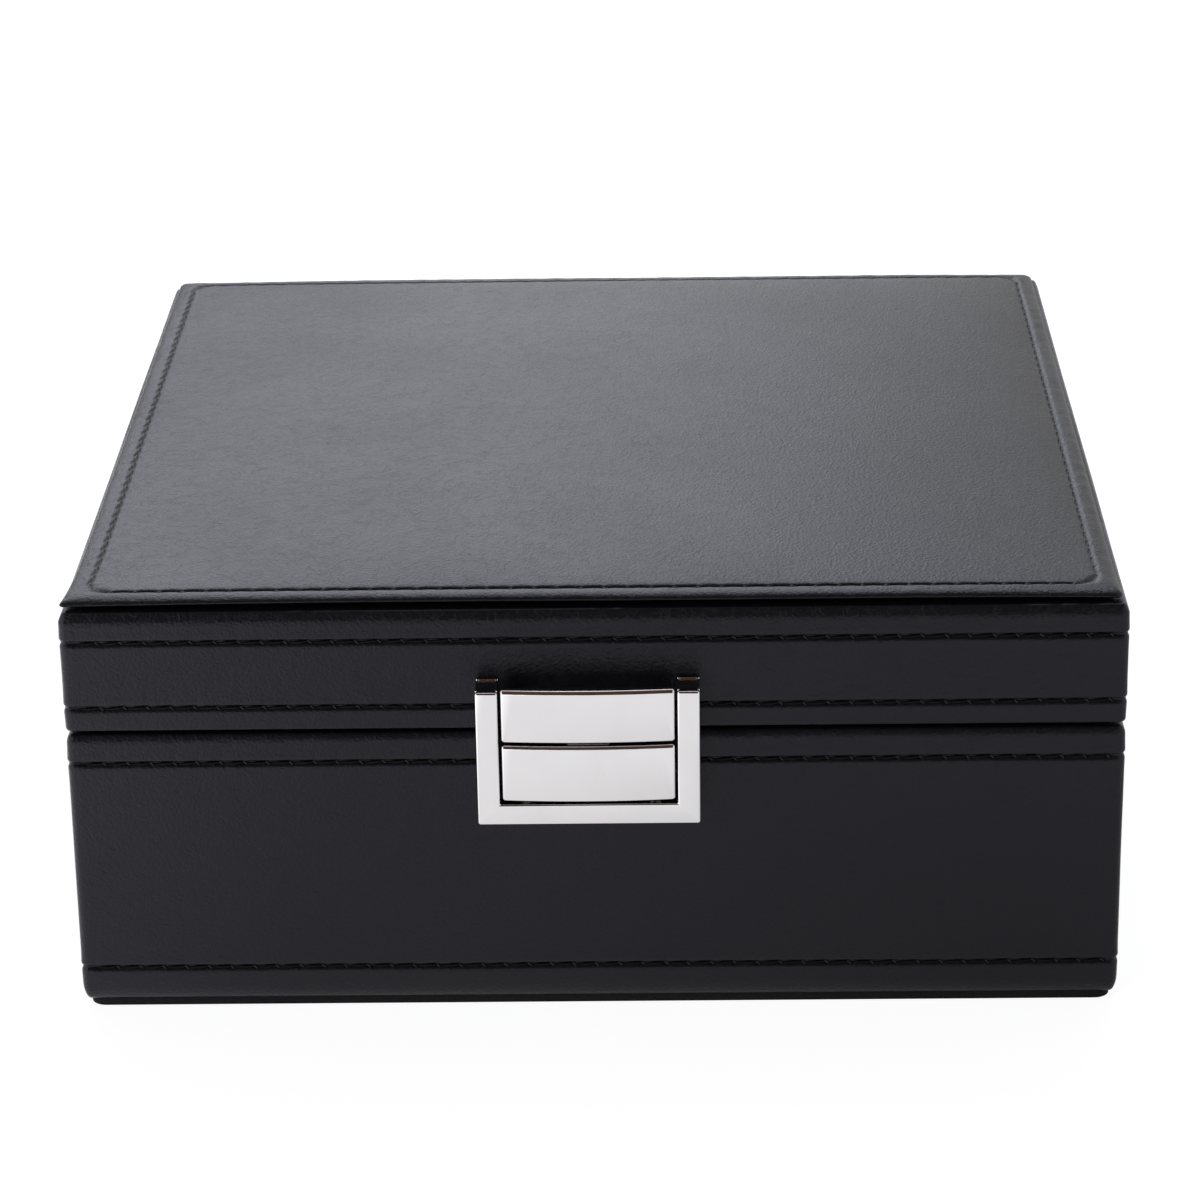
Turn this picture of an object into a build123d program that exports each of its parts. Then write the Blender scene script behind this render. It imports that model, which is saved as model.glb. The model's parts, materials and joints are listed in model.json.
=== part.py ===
"""Square leather-covered jewellery box: padded lid with a mirror, press clasp and lift-out tray.

Millimetres, +Z up, -Y towards the clasp. The origin is the middle of the underside.
"""

import os

from build123d import *

os.makedirs("parts", exist_ok=True)

# Box outline
box_width = 200.0
box_depth = 200.0
corner_radius = 3.0
base_wall_height = 56.1
seam_gap = 0.8
lid_wall_height = 24.7

# Sheet materials
leather = 1.0
board = 6.0
lining = 1.0
floor_board = 5.0
floor_lining = 1.2
lid_board = 4.0

# Underside cover
underside_thickness = 1.6
underside_inset = 1.2
underside_corner_radius = 3.0

# Rolled leather edges and sewn lines
base_foot_radius = 1.2
seam_lip_radius = 1.2
lid_shoulder_radius = 2.4
base_low_stitch = 7.1
base_high_stitch = 5.9
lid_low_stitch = 4.7
lid_high_stitch = 6.7
groove_width = 1.0
groove_depth = 0.35

# Padded top panel
pad_inset = 1.8
pad_border_height = 2.4
pad_border_width = 3.9
pad_border_radius = 1.3
pad_foot_radius = 0.6
pad_valley_width = 1.2
pad_valley_depth = 0.5
pad_crown = 2.0
pad_board = 1.2
pad_board_inset = 2.6
pad_corner_radius = 4.0
pad_height_shares = (0.0, 0.3, 0.55, 0.75, 0.9, 1.0)
pad_inset_shares = (0.0, 0.006, 0.015, 0.03, 0.06, 0.14)

# Mirror in the lid
mirror_backing = 3.0
mirror_glass = 2.0
mirror_surround = 5.0
mirror_border = 16.8
mirror_overlap = 4.0
mirror_window_radius = 3.0
mirror_clearance = 0.2
surround_clearance = 0.2

# Butt hinges
hinge_from_side = 40.0
hinge_width = 38.0
leaf_thickness = 0.9
leaf_margin = 1.0
leaf_gap = 0.4
leaf_clearance = 0.2
barrel_radius = 2.1
barrel_standoff = 0.2
knuckle_clearance = 0.3
pin_radius = 1.0
pin_clearance = 0.05
hinge_screw_spacing = 22.0
hinge_screw_radius = 0.8
hinge_screw_head = 1.6
hinge_screw_length = 8.0
screw_clearance = 0.05

# Clasp frame and its plates
clasp_x = -1.1
clasp_width = 41.9
clasp_below_seam = 16.4
clasp_above_seam = 10.6
clasp_depth = 6.9
clasp_leg = 4.2
clasp_bar = 4.1
clasp_corner_radius = 0.6
clasp_edge_radius = 0.45
lid_clearance = 0.4
plate_gap = 0.7
plate_split = 1.1
plate_thickness = 2.0
plate_bow = 0.7
plate_recess = 0.3
plate_corner_radius = 0.6
plate_edge_radius = 0.4
button_height = 10.9
strike_height = 10.5

# Catch between the strike and the button
strike_block_width = 24.0
strike_block_foot = 1.0
strike_block_head = 2.6
tongue_width = 8.0
tongue_thickness = 1.2
tongue_standoff = 1.2
tongue_reach = 8.6
nose_depth = 0.7
nose_height = 1.5
pocket_width = 26.0
pocket_depth = 4.0
pocket_foot = 1.0
pocket_height = 12.7
catch_plate = 1.2
catch_clearance = 0.2
spring_width = 22.0
spring_thickness = 0.4
spring_foot = 3.2
lip_room = 1.0
pusher_width = 3.0
pusher_height = 2.0
pusher_spacing = 16.0
pusher_drop = 2.0
lug_width = 1.5
lug_reach = 1.2
lug_thickness = 1.4
lug_height = 5.0
lug_clearance = 0.15
catch_screw_radius = 0.8
catch_screw_head = 1.5
catch_screw_head_height = 0.8
catch_screw_spacing = 14.0
catch_screw_grip = 2.2
clasp_screw_radius = 1.1
clasp_screw_head = 2.2
clasp_screw_head_height = 1.4
clasp_screw_grip = 3.4
strike_screw_spacing = 16.0

# Lift-out tray
tray_clearance = 0.5
tray_sink = 0.7
tray_height = 24.5
tray_wall = 3.0
tray_floor = 2.5
tray_divider = 2.0
tray_divider_drop = 1.5
tray_back_depth = 56.0
tray_right_share = 0.5
tray_ledge = 3.0
pull_width = 14.0
pull_thickness = 1.2
pull_clearance = 1.2
pull_loop_radius = 2.0
pull_ribbon = 0.6

# Ring rolls
roll_count = 7
roll_gap = 0.4
roll_end_gap = 0.4
roll_height = 15.8

# Lower compartments
divider = 3.0
divider_clearance = 0.3
divider_drop = 0.5
column_shares = (-1 / 6, 1 / 6)

# Cuts run past the faces that they open
overrun = 1.0

# Derived sizes
carcass_width = box_width - 2 * leather
carcass_depth = box_depth - 2 * leather
carcass_radius = corner_radius - leather
room_width = carcass_width - 2 * board
room_depth = carcass_depth - 2 * board
lined_width = room_width - 2 * lining
lined_depth = room_depth - 2 * lining

# Derived levels
base_bottom = underside_thickness
base_top = base_bottom + base_wall_height
lid_bottom = base_top + seam_gap
lid_top = lid_bottom + lid_wall_height
seam_middle = (base_top + lid_bottom) / 2
floor_top = base_bottom + floor_board + floor_lining
tray_top = base_top - tray_sink
tray_bottom = tray_top - tray_height
lid_ceiling = lid_top - lid_board
glass_top = lid_ceiling - mirror_backing
glass_bottom = glass_top - mirror_glass
surround_bottom = glass_top - mirror_surround
valley_level = lid_top + pad_border_height - pad_valley_depth

# Derived places of the front and back faces
front_face = -box_depth / 2
back_face = box_depth / 2
wall_centre_y = (carcass_depth - board) / 2
wall_centre_x = (carcass_width - board) / 2

# Derived places of the hinges
hinge_spacing = box_width - 2 * hinge_from_side
hinge_axis_y = back_face + barrel_standoff + barrel_radius
leaf_back = hinge_axis_y - barrel_radius - knuckle_clearance
leaf_front = back_face - leather - board + leaf_margin
base_leaf_bottom = seam_middle - leaf_gap / 2 - leaf_thickness
lid_leaf_bottom = seam_middle + leaf_gap / 2
knuckle_length = (hinge_width - 2 * knuckle_clearance) / 3
knuckle_pitch = knuckle_length + knuckle_clearance
hinge_screw_y = (leaf_front + leaf_back) / 2

# Derived places of the clasp
clasp_bottom = seam_middle - clasp_below_seam
clasp_height = clasp_below_seam + clasp_above_seam
clasp_bar_top = clasp_bottom + clasp_bar
clasp_inner = clasp_width - 2 * clasp_leg
clasp_plane = Plane.XZ.offset(box_depth / 2)
plate_width = clasp_inner - 2 * plate_gap
plate_end_y = front_face - clasp_depth + plate_recess
plate_core_y = plate_end_y + plate_thickness / 2
button_bottom = clasp_bar_top + plate_gap
strike_bottom = button_bottom + button_height + plate_split
strike_block_bottom = lid_bottom + strike_block_foot
strike_block_height = strike_bottom + strike_height - strike_block_head - strike_block_bottom
strike_screw_z = strike_block_bottom + strike_block_height / 2
tongue_back = front_face - tongue_standoff
tongue_end = seam_middle - tongue_reach
nose_top = tongue_end + nose_height
pocket_bottom = clasp_bottom + pocket_foot
pocket_back = front_face + pocket_depth
catch_plate_front = pocket_back - catch_plate
spring_foot_y = catch_plate_front - spring_thickness / 2
spring_foot_bottom = pocket_bottom + catch_clearance
spring_bend_z = spring_foot_bottom + spring_foot
lip_z = nose_top + catch_clearance + spring_thickness / 2
lip_root_y = tongue_back + nose_depth + lip_room
lip_tip_y = tongue_back + catch_clearance
spring_slope = (lip_root_y - spring_foot_y) / (lip_z - spring_bend_z)
pusher_z = lip_z - pusher_drop
pusher_top = pusher_z + pusher_height / 2
spring_front_y = spring_foot_y + spring_slope * (pusher_top - spring_bend_z) - spring_thickness
pusher_end_y = spring_front_y - catch_clearance
catch_screw_z = spring_foot_bottom + spring_foot / 2
clasp_screw_x = (clasp_width - clasp_leg) / 2
clasp_screw_z = clasp_bottom + clasp_bar / 2
wall_inner_y = front_face + leather + board

# Derived sizes of the tray
tray_width = lined_width - 2 * tray_clearance
tray_depth = lined_depth - 2 * tray_clearance
tray_room_width = tray_width - 2 * tray_wall
tray_room_depth = tray_depth - 2 * tray_wall
tray_floor_top = tray_bottom + tray_floor
tray_wall_height = tray_height - tray_floor
tray_divider_height = tray_wall_height - tray_divider_drop
tray_divider_y = tray_room_depth / 2 - tray_back_depth - tray_divider / 2
tray_front_depth = tray_room_depth - tray_back_depth - tray_divider
tray_half_width = (tray_room_width - tray_divider) / 2
tray_front_y = (tray_divider_y - tray_divider / 2 - tray_room_depth / 2) / 2
tray_back_y = (tray_room_depth - tray_back_depth) / 2
roll_pitch = tray_front_depth / roll_count
roll_radius = (roll_pitch - roll_gap) / 2
roll_centre_z = tray_floor_top + roll_height - roll_radius
pull_leg = tray_wall_height - roll_height - pull_clearance

SEATED = (Align.CENTER, Align.CENTER, Align.MIN)
HANGING = (Align.CENTER, Align.CENTER, Align.MAX)
SIDES = {"left": -1, "right": 1}
ALONG_X = (0, 90, 0)
ALONG_Y = (90, 0, 0)


def write(piece, name):
    """Label a finished piece and write it under its own name."""
    piece.part.label = name
    export_step(piece.part, f"parts/{name}.step")


def leather_shell(bottom, height, foot_radius, head_radius, sewn_lines):
    """Leather round the outside of four walls, turned in over both edges, with sunk sewn lines."""
    with BuildPart() as shell:
        with BuildSketch(Plane.XY.offset(bottom)):
            RectangleRounded(box_width, box_depth, corner_radius)
        extrude(amount=height)
        fillet(shell.edges().group_by(Axis.Z)[0], foot_radius)
        fillet(shell.edges().group_by(Axis.Z)[-1], head_radius)
        with BuildSketch(Plane.XY.offset(bottom + leather)):
            RectangleRounded(carcass_width, carcass_depth, carcass_radius)
        extrude(amount=height - 2 * leather, mode=Mode.SUBTRACT)
        with BuildSketch(Plane.XY.offset(bottom)):
            Rectangle(room_width, room_depth)
        extrude(amount=height, mode=Mode.SUBTRACT)
        for line in sewn_lines:
            with BuildSketch(Plane.XY.offset(line - groove_width / 2)):
                Rectangle(box_width + overrun, box_depth + overrun)
                RectangleRounded(
                    box_width - 2 * groove_depth,
                    box_depth - 2 * groove_depth,
                    corner_radius - groove_depth,
                    mode=Mode.SUBTRACT,
                )
            extrude(amount=groove_width, mode=Mode.SUBTRACT)
    return shell.part


def wall(side, bottom, height):
    """Front or back board across the whole carcass, its outer corners rounded for the leather."""
    with BuildPart() as piece:
        with Locations((0, side * wall_centre_y, bottom)):
            Box(carcass_width, board, height, align=SEATED)
        outer_edges = piece.edges().filter_by(Axis.Z).sort_by(Axis.Y)
        fillet(outer_edges[-2:] if side > 0 else outer_edges[:2], carcass_radius)
    return piece.part


def lining_ring(bottom, height):
    """Velvet on card round the inside of four walls."""
    with BuildPart() as ring:
        with BuildSketch(Plane.XY.offset(bottom)):
            Rectangle(room_width, room_depth)
            Rectangle(lined_width, lined_depth, mode=Mode.SUBTRACT)
        extrude(amount=height)
    return ring.part


def crown(width, depth, corner, foot, head):
    """Puffed form of the padded top between two levels."""
    with BuildPart() as form:
        for height_share, inset_share in zip(pad_height_shares, pad_inset_shares):
            with BuildSketch(Plane.XY.offset(foot + (head - foot) * height_share)):
                RectangleRounded(width * (1 - 2 * inset_share), depth * (1 - 2 * inset_share), corner)
        loft(ruled=True)
    return form.part


def bowed_plate(bottom, height):
    """Clasp plate that bows outward between the frame's legs."""
    half = plate_width / 2
    back_y = plate_end_y + plate_thickness
    with BuildPart() as plate:
        with BuildSketch(Plane.XY.offset(bottom)):
            with BuildLine():
                ThreePointArc(
                    (clasp_x - half, plate_end_y),
                    (clasp_x, plate_end_y - plate_bow),
                    (clasp_x + half, plate_end_y),
                )
                Line((clasp_x + half, plate_end_y), (clasp_x + half, back_y))
                ThreePointArc(
                    (clasp_x + half, back_y),
                    (clasp_x, back_y - plate_bow),
                    (clasp_x - half, back_y),
                )
                Line((clasp_x - half, back_y), (clasp_x - half, plate_end_y))
            make_face()
        extrude(amount=height)
        fillet(plate.edges().filter_by(Axis.Y), plate_corner_radius)
        fillet(plate.faces().sort_by(Axis.Y)[0].edges(), plate_edge_radius)
    return plate.part


def hinge_screw_places(level):
    """Where the screws of both hinges meet a level."""
    return [
        (side * hinge_spacing / 2 + half * hinge_screw_spacing / 2, hinge_screw_y, level)
        for side in SIDES.values()
        for half in (-1, 1)
    ]


def cut_leaf_seats(bottom, height):
    """Recess for the hinge leaves in the piece being built."""
    seat_length = back_face - leaf_front + leaf_clearance
    with Locations(
        *[
            (side * hinge_spacing / 2, leaf_front - leaf_clearance + (seat_length + overrun) / 2, bottom)
            for side in SIDES.values()
        ]
    ):
        Box(
            hinge_width + 2 * leaf_clearance,
            seat_length + overrun,
            height,
            align=SEATED,
            mode=Mode.SUBTRACT,
        )


def cut_hinge_screw_holes(level, align):
    """Pilot holes for the hinge screws in the piece being built."""
    with Locations(*hinge_screw_places(level)):
        Cylinder(
            hinge_screw_radius + screw_clearance,
            hinge_screw_length + screw_clearance,
            align=align,
            mode=Mode.SUBTRACT,
        )


def cut_front_holes(places, radius, front, back):
    """Holes along Y between two depths in the piece being built."""
    for x, z in places:
        with Locations((x, (front + back) / 2, z)):
            Cylinder(radius, back - front, rotation=ALONG_Y, mode=Mode.SUBTRACT)


clasp_screw_places = [(clasp_x + side * clasp_screw_x, clasp_screw_z) for side in SIDES.values()]
strike_screw_places = [(clasp_x + side * strike_screw_spacing / 2, strike_screw_z) for side in SIDES.values()]
catch_screw_places = [(clasp_x + side * catch_screw_spacing / 2, catch_screw_z) for side in SIDES.values()]


def cut_clasp_pocket():
    """Pocket for the catch in the piece being built."""
    with Locations((clasp_x, pocket_back - (pocket_depth + overrun) / 2, pocket_bottom)):
        Box(pocket_width, pocket_depth + overrun, pocket_height, align=SEATED, mode=Mode.SUBTRACT)


def cut_wall_screw_holes(places):
    """Screw holes through a front wall with room for the heads on its inner side."""
    hole_end = wall_inner_y + overrun
    cut_front_holes(places, clasp_screw_radius + screw_clearance, front_face - overrun, hole_end)
    head_front = wall_inner_y - clasp_screw_head_height
    cut_front_holes(places, clasp_screw_head + screw_clearance, head_front, hole_end)


def wall_screws(places):
    """Pan-head screws from the inner side of a front wall into the clasp."""
    tip = front_face - clasp_screw_grip
    head_front = wall_inner_y - clasp_screw_head_height
    with BuildPart() as screws:
        for x, z in places:
            with Locations((x, (tip + head_front) / 2, z)):
                Cylinder(clasp_screw_radius, head_front - tip, rotation=ALONG_Y)
            with Locations((x, (head_front + wall_inner_y) / 2, z)):
                Cylinder(clasp_screw_head, clasp_screw_head_height, rotation=ALONG_Y)
    return screws.part


# Base: boards, floor and underside
wall_bottom = base_bottom + leather
wall_height = base_wall_height - 2 * leather

with BuildPart() as underside:
    with BuildSketch():
        RectangleRounded(
            box_width - 2 * underside_inset, box_depth - 2 * underside_inset, underside_corner_radius
        )
    extrude(amount=underside_thickness)
write(underside, "underside_cover")

with BuildPart() as base_floor:
    with Locations((0, 0, base_bottom)):
        Box(room_width, room_depth, floor_board, align=SEATED)
write(base_floor, "base_floor_board")

with BuildPart() as base_front:
    add(wall(-1, wall_bottom, wall_height))
    cut_clasp_pocket()
    cut_wall_screw_holes(clasp_screw_places)
    cut_front_holes(
        catch_screw_places,
        catch_screw_radius + screw_clearance,
        pocket_back - overrun,
        pocket_back + catch_screw_grip + screw_clearance,
    )
write(base_front, "base_front_panel")

with BuildPart() as base_back:
    add(wall(1, wall_bottom, wall_height))
    cut_leaf_seats(base_leaf_bottom, base_wall_height)
    cut_hinge_screw_holes(base_leaf_bottom, HANGING)
write(base_back, "base_back_panel")

for name, side in SIDES.items():
    with BuildPart() as base_side:
        with Locations((side * wall_centre_x, 0, wall_bottom)):
            Box(board, room_depth, wall_height, align=SEATED)
    write(base_side, f"base_{name}_panel")

# Base: leather and linings
with BuildPart() as base_leather:
    add(
        leather_shell(
            base_bottom,
            base_wall_height,
            base_foot_radius,
            seam_lip_radius,
            (base_bottom + base_low_stitch, base_top - base_high_stitch),
        )
    )
    cut_clasp_pocket()
    cut_front_holes(
        clasp_screw_places,
        clasp_screw_radius + screw_clearance,
        front_face - overrun,
        front_face + leather + overrun,
    )
    cut_leaf_seats(base_leaf_bottom, base_wall_height)
    cut_hinge_screw_holes(base_leaf_bottom, HANGING)
write(base_leather, "base_leather_wrap")

lining_bottom = base_bottom + floor_board
with BuildPart() as base_lining:
    add(lining_ring(lining_bottom, base_top - lining_bottom))
write(base_lining, "base_lining")

with BuildPart() as base_floor_pad:
    with Locations((0, 0, lining_bottom)):
        Box(lined_width, lined_depth, floor_lining, align=SEATED)
write(base_floor_pad, "base_floor_lining")

# Base: ledges under the tray and the lower compartments
for name, side in SIDES.items():
    with BuildPart() as ledge:
        with Locations((side * (lined_width - tray_ledge) / 2, 0, floor_top)):
            Box(tray_ledge, lined_depth, tray_bottom - floor_top, align=SEATED)
    write(ledge, f"tray_ledge_{name}")

divider_height = tray_bottom - divider_drop - floor_top
divider_length_x = lined_width - 2 * tray_ledge - 2 * divider_clearance
divider_length_y = lined_depth - 2 * divider_clearance
divider_columns = [lined_width * share for share in column_shares]
divider_slot = divider + 2 * divider_clearance

with BuildPart() as divider_long:
    with Locations((0, 0, floor_top)):
        Box(divider_length_x, divider, divider_height, align=SEATED)
    with Locations(*[(x, 0, floor_top + divider_height / 2) for x in divider_columns]):
        Box(divider_slot, divider_slot, divider_height, align=SEATED, mode=Mode.SUBTRACT)
write(divider_long, "lower_divider_long")

for name, x in zip(SIDES, divider_columns):
    with BuildPart() as divider_cross:
        with Locations((x, 0, floor_top)):
            Box(divider, divider_length_y, divider_height, align=SEATED)
        with Locations((x, 0, floor_top + divider_height / 2)):
            Box(divider_slot, divider_slot, divider_height, align=HANGING, mode=Mode.SUBTRACT)
    write(divider_cross, f"lower_divider_{name}")

# Lid: rails, top board, leather and lining
rail_bottom = lid_bottom + leather
rail_height = lid_wall_height - 2 * leather
lid_leaf_top = lid_leaf_bottom + leaf_thickness

with BuildPart() as lid_front:
    add(wall(-1, rail_bottom, rail_height))
    cut_wall_screw_holes(strike_screw_places)
write(lid_front, "lid_front_rail")

with BuildPart() as lid_back:
    add(wall(1, rail_bottom, rail_height))
    cut_leaf_seats(lid_leaf_top - base_wall_height, base_wall_height)
    cut_hinge_screw_holes(lid_leaf_top, SEATED)
write(lid_back, "lid_back_rail")

for name, side in SIDES.items():
    with BuildPart() as lid_side:
        with Locations((side * wall_centre_x, 0, rail_bottom)):
            Box(board, room_depth, rail_height, align=SEATED)
    write(lid_side, f"lid_{name}_rail")

with BuildPart() as lid_panel:
    with Locations((0, 0, lid_ceiling)):
        Box(room_width, room_depth, lid_board, align=SEATED)
write(lid_panel, "lid_top_board")

with BuildPart() as lid_leather:
    add(
        leather_shell(
            lid_bottom,
            lid_wall_height,
            seam_lip_radius,
            lid_shoulder_radius,
            (lid_bottom + lid_low_stitch, lid_top - lid_high_stitch),
        )
    )
    cut_front_holes(
        strike_screw_places,
        clasp_screw_radius + screw_clearance,
        front_face - overrun,
        front_face + leather + overrun,
    )
    cut_leaf_seats(lid_leaf_top - base_wall_height, base_wall_height)
    cut_hinge_screw_holes(lid_leaf_top, SEATED)
write(lid_leather, "lid_leather_wrap")

with BuildPart() as lid_velvet:
    add(lining_ring(lid_bottom, lid_ceiling - lid_bottom))
write(lid_velvet, "lid_lining")

# Lid: padded top panel
panel_width = box_width - 2 * pad_inset
panel_depth = box_depth - 2 * pad_inset
pad_board_width = panel_width - 2 * pad_board_inset
pad_board_depth = panel_depth - 2 * pad_board_inset
pad_board_top = lid_top + pad_board
pad_crown_top = lid_top + pad_border_height + pad_crown
pad_width = panel_width - 2 * pad_border_width - pad_valley_width
pad_depth = panel_depth - 2 * pad_border_width - pad_valley_width
valley_width = pad_width + 2 * pad_valley_width
valley_depth = pad_depth + 2 * pad_valley_width
foam_width = pad_width - 2 * leather
foam_depth = pad_depth - 2 * leather
foam_corner_radius = pad_corner_radius - leather

with BuildPart() as pad_base:
    with Locations((0, 0, lid_top)):
        Box(pad_board_width, pad_board_depth, pad_board, align=SEATED)
write(pad_base, "lid_pad_board")

with BuildPart() as pad_foam:
    with BuildSketch(Plane.XY.offset(pad_board_top)):
        RectangleRounded(foam_width, foam_depth, foam_corner_radius)
    extrude(amount=valley_level - pad_board_top)
    add(crown(foam_width, foam_depth, foam_corner_radius, valley_level, pad_crown_top - leather))
write(pad_foam, "lid_pad_foam")

with BuildPart() as pad_cover:
    with BuildSketch(Plane.XY.offset(lid_top)):
        RectangleRounded(panel_width, panel_depth, corner_radius)
    extrude(amount=pad_border_height)
    fillet(pad_cover.edges().group_by(Axis.Z)[0], pad_foot_radius)
    fillet(pad_cover.edges().group_by(Axis.Z)[-1], pad_border_radius)
    with BuildSketch(Plane.XY.offset(valley_level)):
        RectangleRounded(valley_width, valley_depth, pad_corner_radius)
    extrude(amount=pad_border_height, mode=Mode.SUBTRACT)
    add(crown(pad_width, pad_depth, pad_corner_radius, valley_level, pad_crown_top))
    add(pad_base.part, mode=Mode.SUBTRACT)
    add(pad_foam.part, mode=Mode.SUBTRACT)
write(pad_cover, "lid_pad_cover")

# Lid: mirror
surround_width = lined_width - 2 * surround_clearance
surround_depth = lined_depth - 2 * surround_clearance
window_width = surround_width - 2 * mirror_border
window_depth = surround_depth - 2 * mirror_border
glass_width = window_width + 2 * mirror_overlap
glass_depth = window_depth + 2 * mirror_overlap
seat_width = glass_width + 2 * mirror_clearance
seat_depth = glass_depth + 2 * mirror_clearance

with BuildPart() as backing:
    with Locations((0, 0, glass_top)):
        Box(surround_width, surround_depth, mirror_backing, align=SEATED)
write(backing, "mirror_backing")

with BuildPart() as glass:
    with Locations((0, 0, glass_bottom)):
        Box(glass_width, glass_depth, mirror_glass, align=SEATED)
write(glass, "mirror_glass")

with BuildPart() as surround:
    with Locations((0, 0, surround_bottom)):
        Box(surround_width, surround_depth, mirror_surround, align=SEATED)
    with BuildSketch(Plane.XY.offset(surround_bottom)):
        RectangleRounded(window_width, window_depth, mirror_window_radius)
    extrude(amount=mirror_surround, mode=Mode.SUBTRACT)
    with Locations((0, 0, glass_bottom)):
        Box(seat_width, seat_depth, mirror_surround, align=SEATED, mode=Mode.SUBTRACT)
write(surround, "mirror_surround")


# Hinges
def hinge_leaf(centre, plate_bottom, knuckle_steps, head_level):
    """Leaf let into a wall's edge, with its knuckles round the pin."""
    plate_length = leaf_back - leaf_front
    arm_length = hinge_axis_y - hinge_screw_y
    with BuildPart() as leaf:
        with Locations((centre, (leaf_front + leaf_back) / 2, plate_bottom)):
            Box(hinge_width, plate_length, leaf_thickness, align=SEATED)
        for step in knuckle_steps:
            x = centre + step * knuckle_pitch
            with Locations((x, (hinge_axis_y + hinge_screw_y) / 2, plate_bottom)):
                Box(knuckle_length, arm_length, leaf_thickness, align=SEATED)
            with Locations((x, hinge_axis_y, seam_middle)):
                Cylinder(barrel_radius, knuckle_length, rotation=ALONG_X)
        with Locations((centre, hinge_axis_y, seam_middle)):
            Cylinder(pin_radius + pin_clearance, hinge_width + overrun, rotation=ALONG_X, mode=Mode.SUBTRACT)
        wide = hinge_screw_head + screw_clearance
        narrow = hinge_screw_radius + screw_clearance
        low, high = (narrow, wide) if head_level > plate_bottom else (wide, narrow)
        for half in (-1, 1):
            with Locations((centre + half * hinge_screw_spacing / 2, hinge_screw_y, plate_bottom)):
                Cone(low, high, leaf_thickness, align=SEATED, mode=Mode.SUBTRACT)
    return leaf.part


base_leaf_top = base_leaf_bottom + leaf_thickness
for name, side in SIDES.items():
    hinge_x = side * hinge_spacing / 2
    with BuildPart() as base_leaf:
        add(hinge_leaf(hinge_x, base_leaf_bottom, (-1, 1), base_leaf_top))
    write(base_leaf, f"hinge_base_leaf_{name}")

    with BuildPart() as lid_leaf:
        add(hinge_leaf(hinge_x, lid_leaf_bottom, (0,), lid_leaf_bottom))
    write(lid_leaf, f"hinge_lid_leaf_{name}")

with BuildPart() as pins:
    with Locations(*[(side * hinge_spacing / 2, hinge_axis_y, seam_middle) for side in SIDES.values()]):
        Cylinder(pin_radius, hinge_width, rotation=ALONG_X)
write(pins, "hinge_pins")

with BuildPart() as base_screws:
    with Locations(*hinge_screw_places(base_leaf_bottom)):
        Cone(hinge_screw_radius, hinge_screw_head, leaf_thickness, align=SEATED)
        Cylinder(hinge_screw_radius, hinge_screw_length, align=HANGING)
write(base_screws, "hinge_base_screws")

with BuildPart() as lid_screws:
    mirror(base_screws.part, about=Plane.XY.offset(seam_middle))
write(lid_screws, "hinge_lid_screws")

# Clasp: frame on the base
with BuildPart() as frame:
    with BuildSketch(clasp_plane):
        with Locations((clasp_x, clasp_bottom)):
            Rectangle(clasp_width, clasp_height, align=(Align.CENTER, Align.MIN))
        fillet(vertices().group_by(Axis.Y)[0], clasp_corner_radius)
        with Locations((clasp_x, clasp_bar_top)):
            Rectangle(clasp_inner, clasp_height, align=(Align.CENTER, Align.MIN), mode=Mode.SUBTRACT)
    extrude(amount=clasp_depth)
    fillet(frame.faces().sort_by(Axis.Y)[0].edges(), clasp_edge_radius)
    with Locations((clasp_x, front_face, base_top)):
        Box(clasp_width + overrun, 2 * lid_clearance, clasp_height, align=SEATED, mode=Mode.SUBTRACT)
    groove_front = plate_core_y - lug_clearance
    groove_length = front_face - groove_front + overrun
    lug_z = button_bottom + button_height / 2
    with Locations((clasp_x, groove_front + groove_length / 2, lug_z)):
        Box(
            clasp_inner + 2 * (lug_reach + lug_clearance),
            groove_length,
            lug_height + 2 * lug_clearance,
            mode=Mode.SUBTRACT,
        )
    cut_front_holes(
        clasp_screw_places,
        clasp_screw_radius + screw_clearance,
        front_face - clasp_screw_grip - screw_clearance,
        front_face + overrun,
    )
write(frame, "clasp_frame")

with BuildPart() as frame_screws:
    add(wall_screws(clasp_screw_places))
write(frame_screws, "clasp_frame_screws")

# Clasp: button with its lugs and the two pushers that reach the catch
with BuildPart() as button:
    add(bowed_plate(button_bottom, button_height))
    for side in SIDES.values():
        lug_span = lug_width + plate_gap + lug_reach
        lug_x = clasp_x + side * (plate_width / 2 - lug_width + lug_span / 2)
        with Locations((lug_x, plate_core_y + lug_thickness / 2, lug_z)):
            Box(lug_span, lug_thickness, lug_height)
        pusher_length = pusher_end_y - plate_core_y
        with Locations((clasp_x + side * pusher_spacing / 2, plate_core_y + pusher_length / 2, pusher_z)):
            Box(pusher_width, pusher_length, pusher_height)
write(button, "clasp_button")

# Clasp: catch in its pocket behind the button
with BuildPart() as catch_base:
    with Locations((clasp_x, catch_plate_front + catch_plate / 2, pocket_bottom + catch_clearance)):
        Box(
            pocket_width - 2 * catch_clearance,
            catch_plate,
            pocket_height - 2 * catch_clearance,
            align=SEATED,
        )
    cut_front_holes(
        catch_screw_places,
        catch_screw_radius + screw_clearance,
        catch_plate_front - overrun,
        pocket_back + overrun,
    )
write(catch_base, "catch_plate")

with BuildPart() as spring:
    with BuildSketch(Plane.YZ.offset(clasp_x)):
        with BuildLine():
            Polyline(
                (spring_foot_y, spring_foot_bottom),
                (spring_foot_y, spring_bend_z),
                (lip_root_y, lip_z),
                (lip_tip_y, lip_z),
            )
        trace(line_width=spring_thickness)
    extrude(amount=spring_width / 2, both=True)
    cut_front_holes(
        catch_screw_places,
        catch_screw_radius + screw_clearance,
        catch_plate_front - spring_thickness - overrun,
        catch_plate_front + overrun,
    )
write(spring, "catch_spring")

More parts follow.
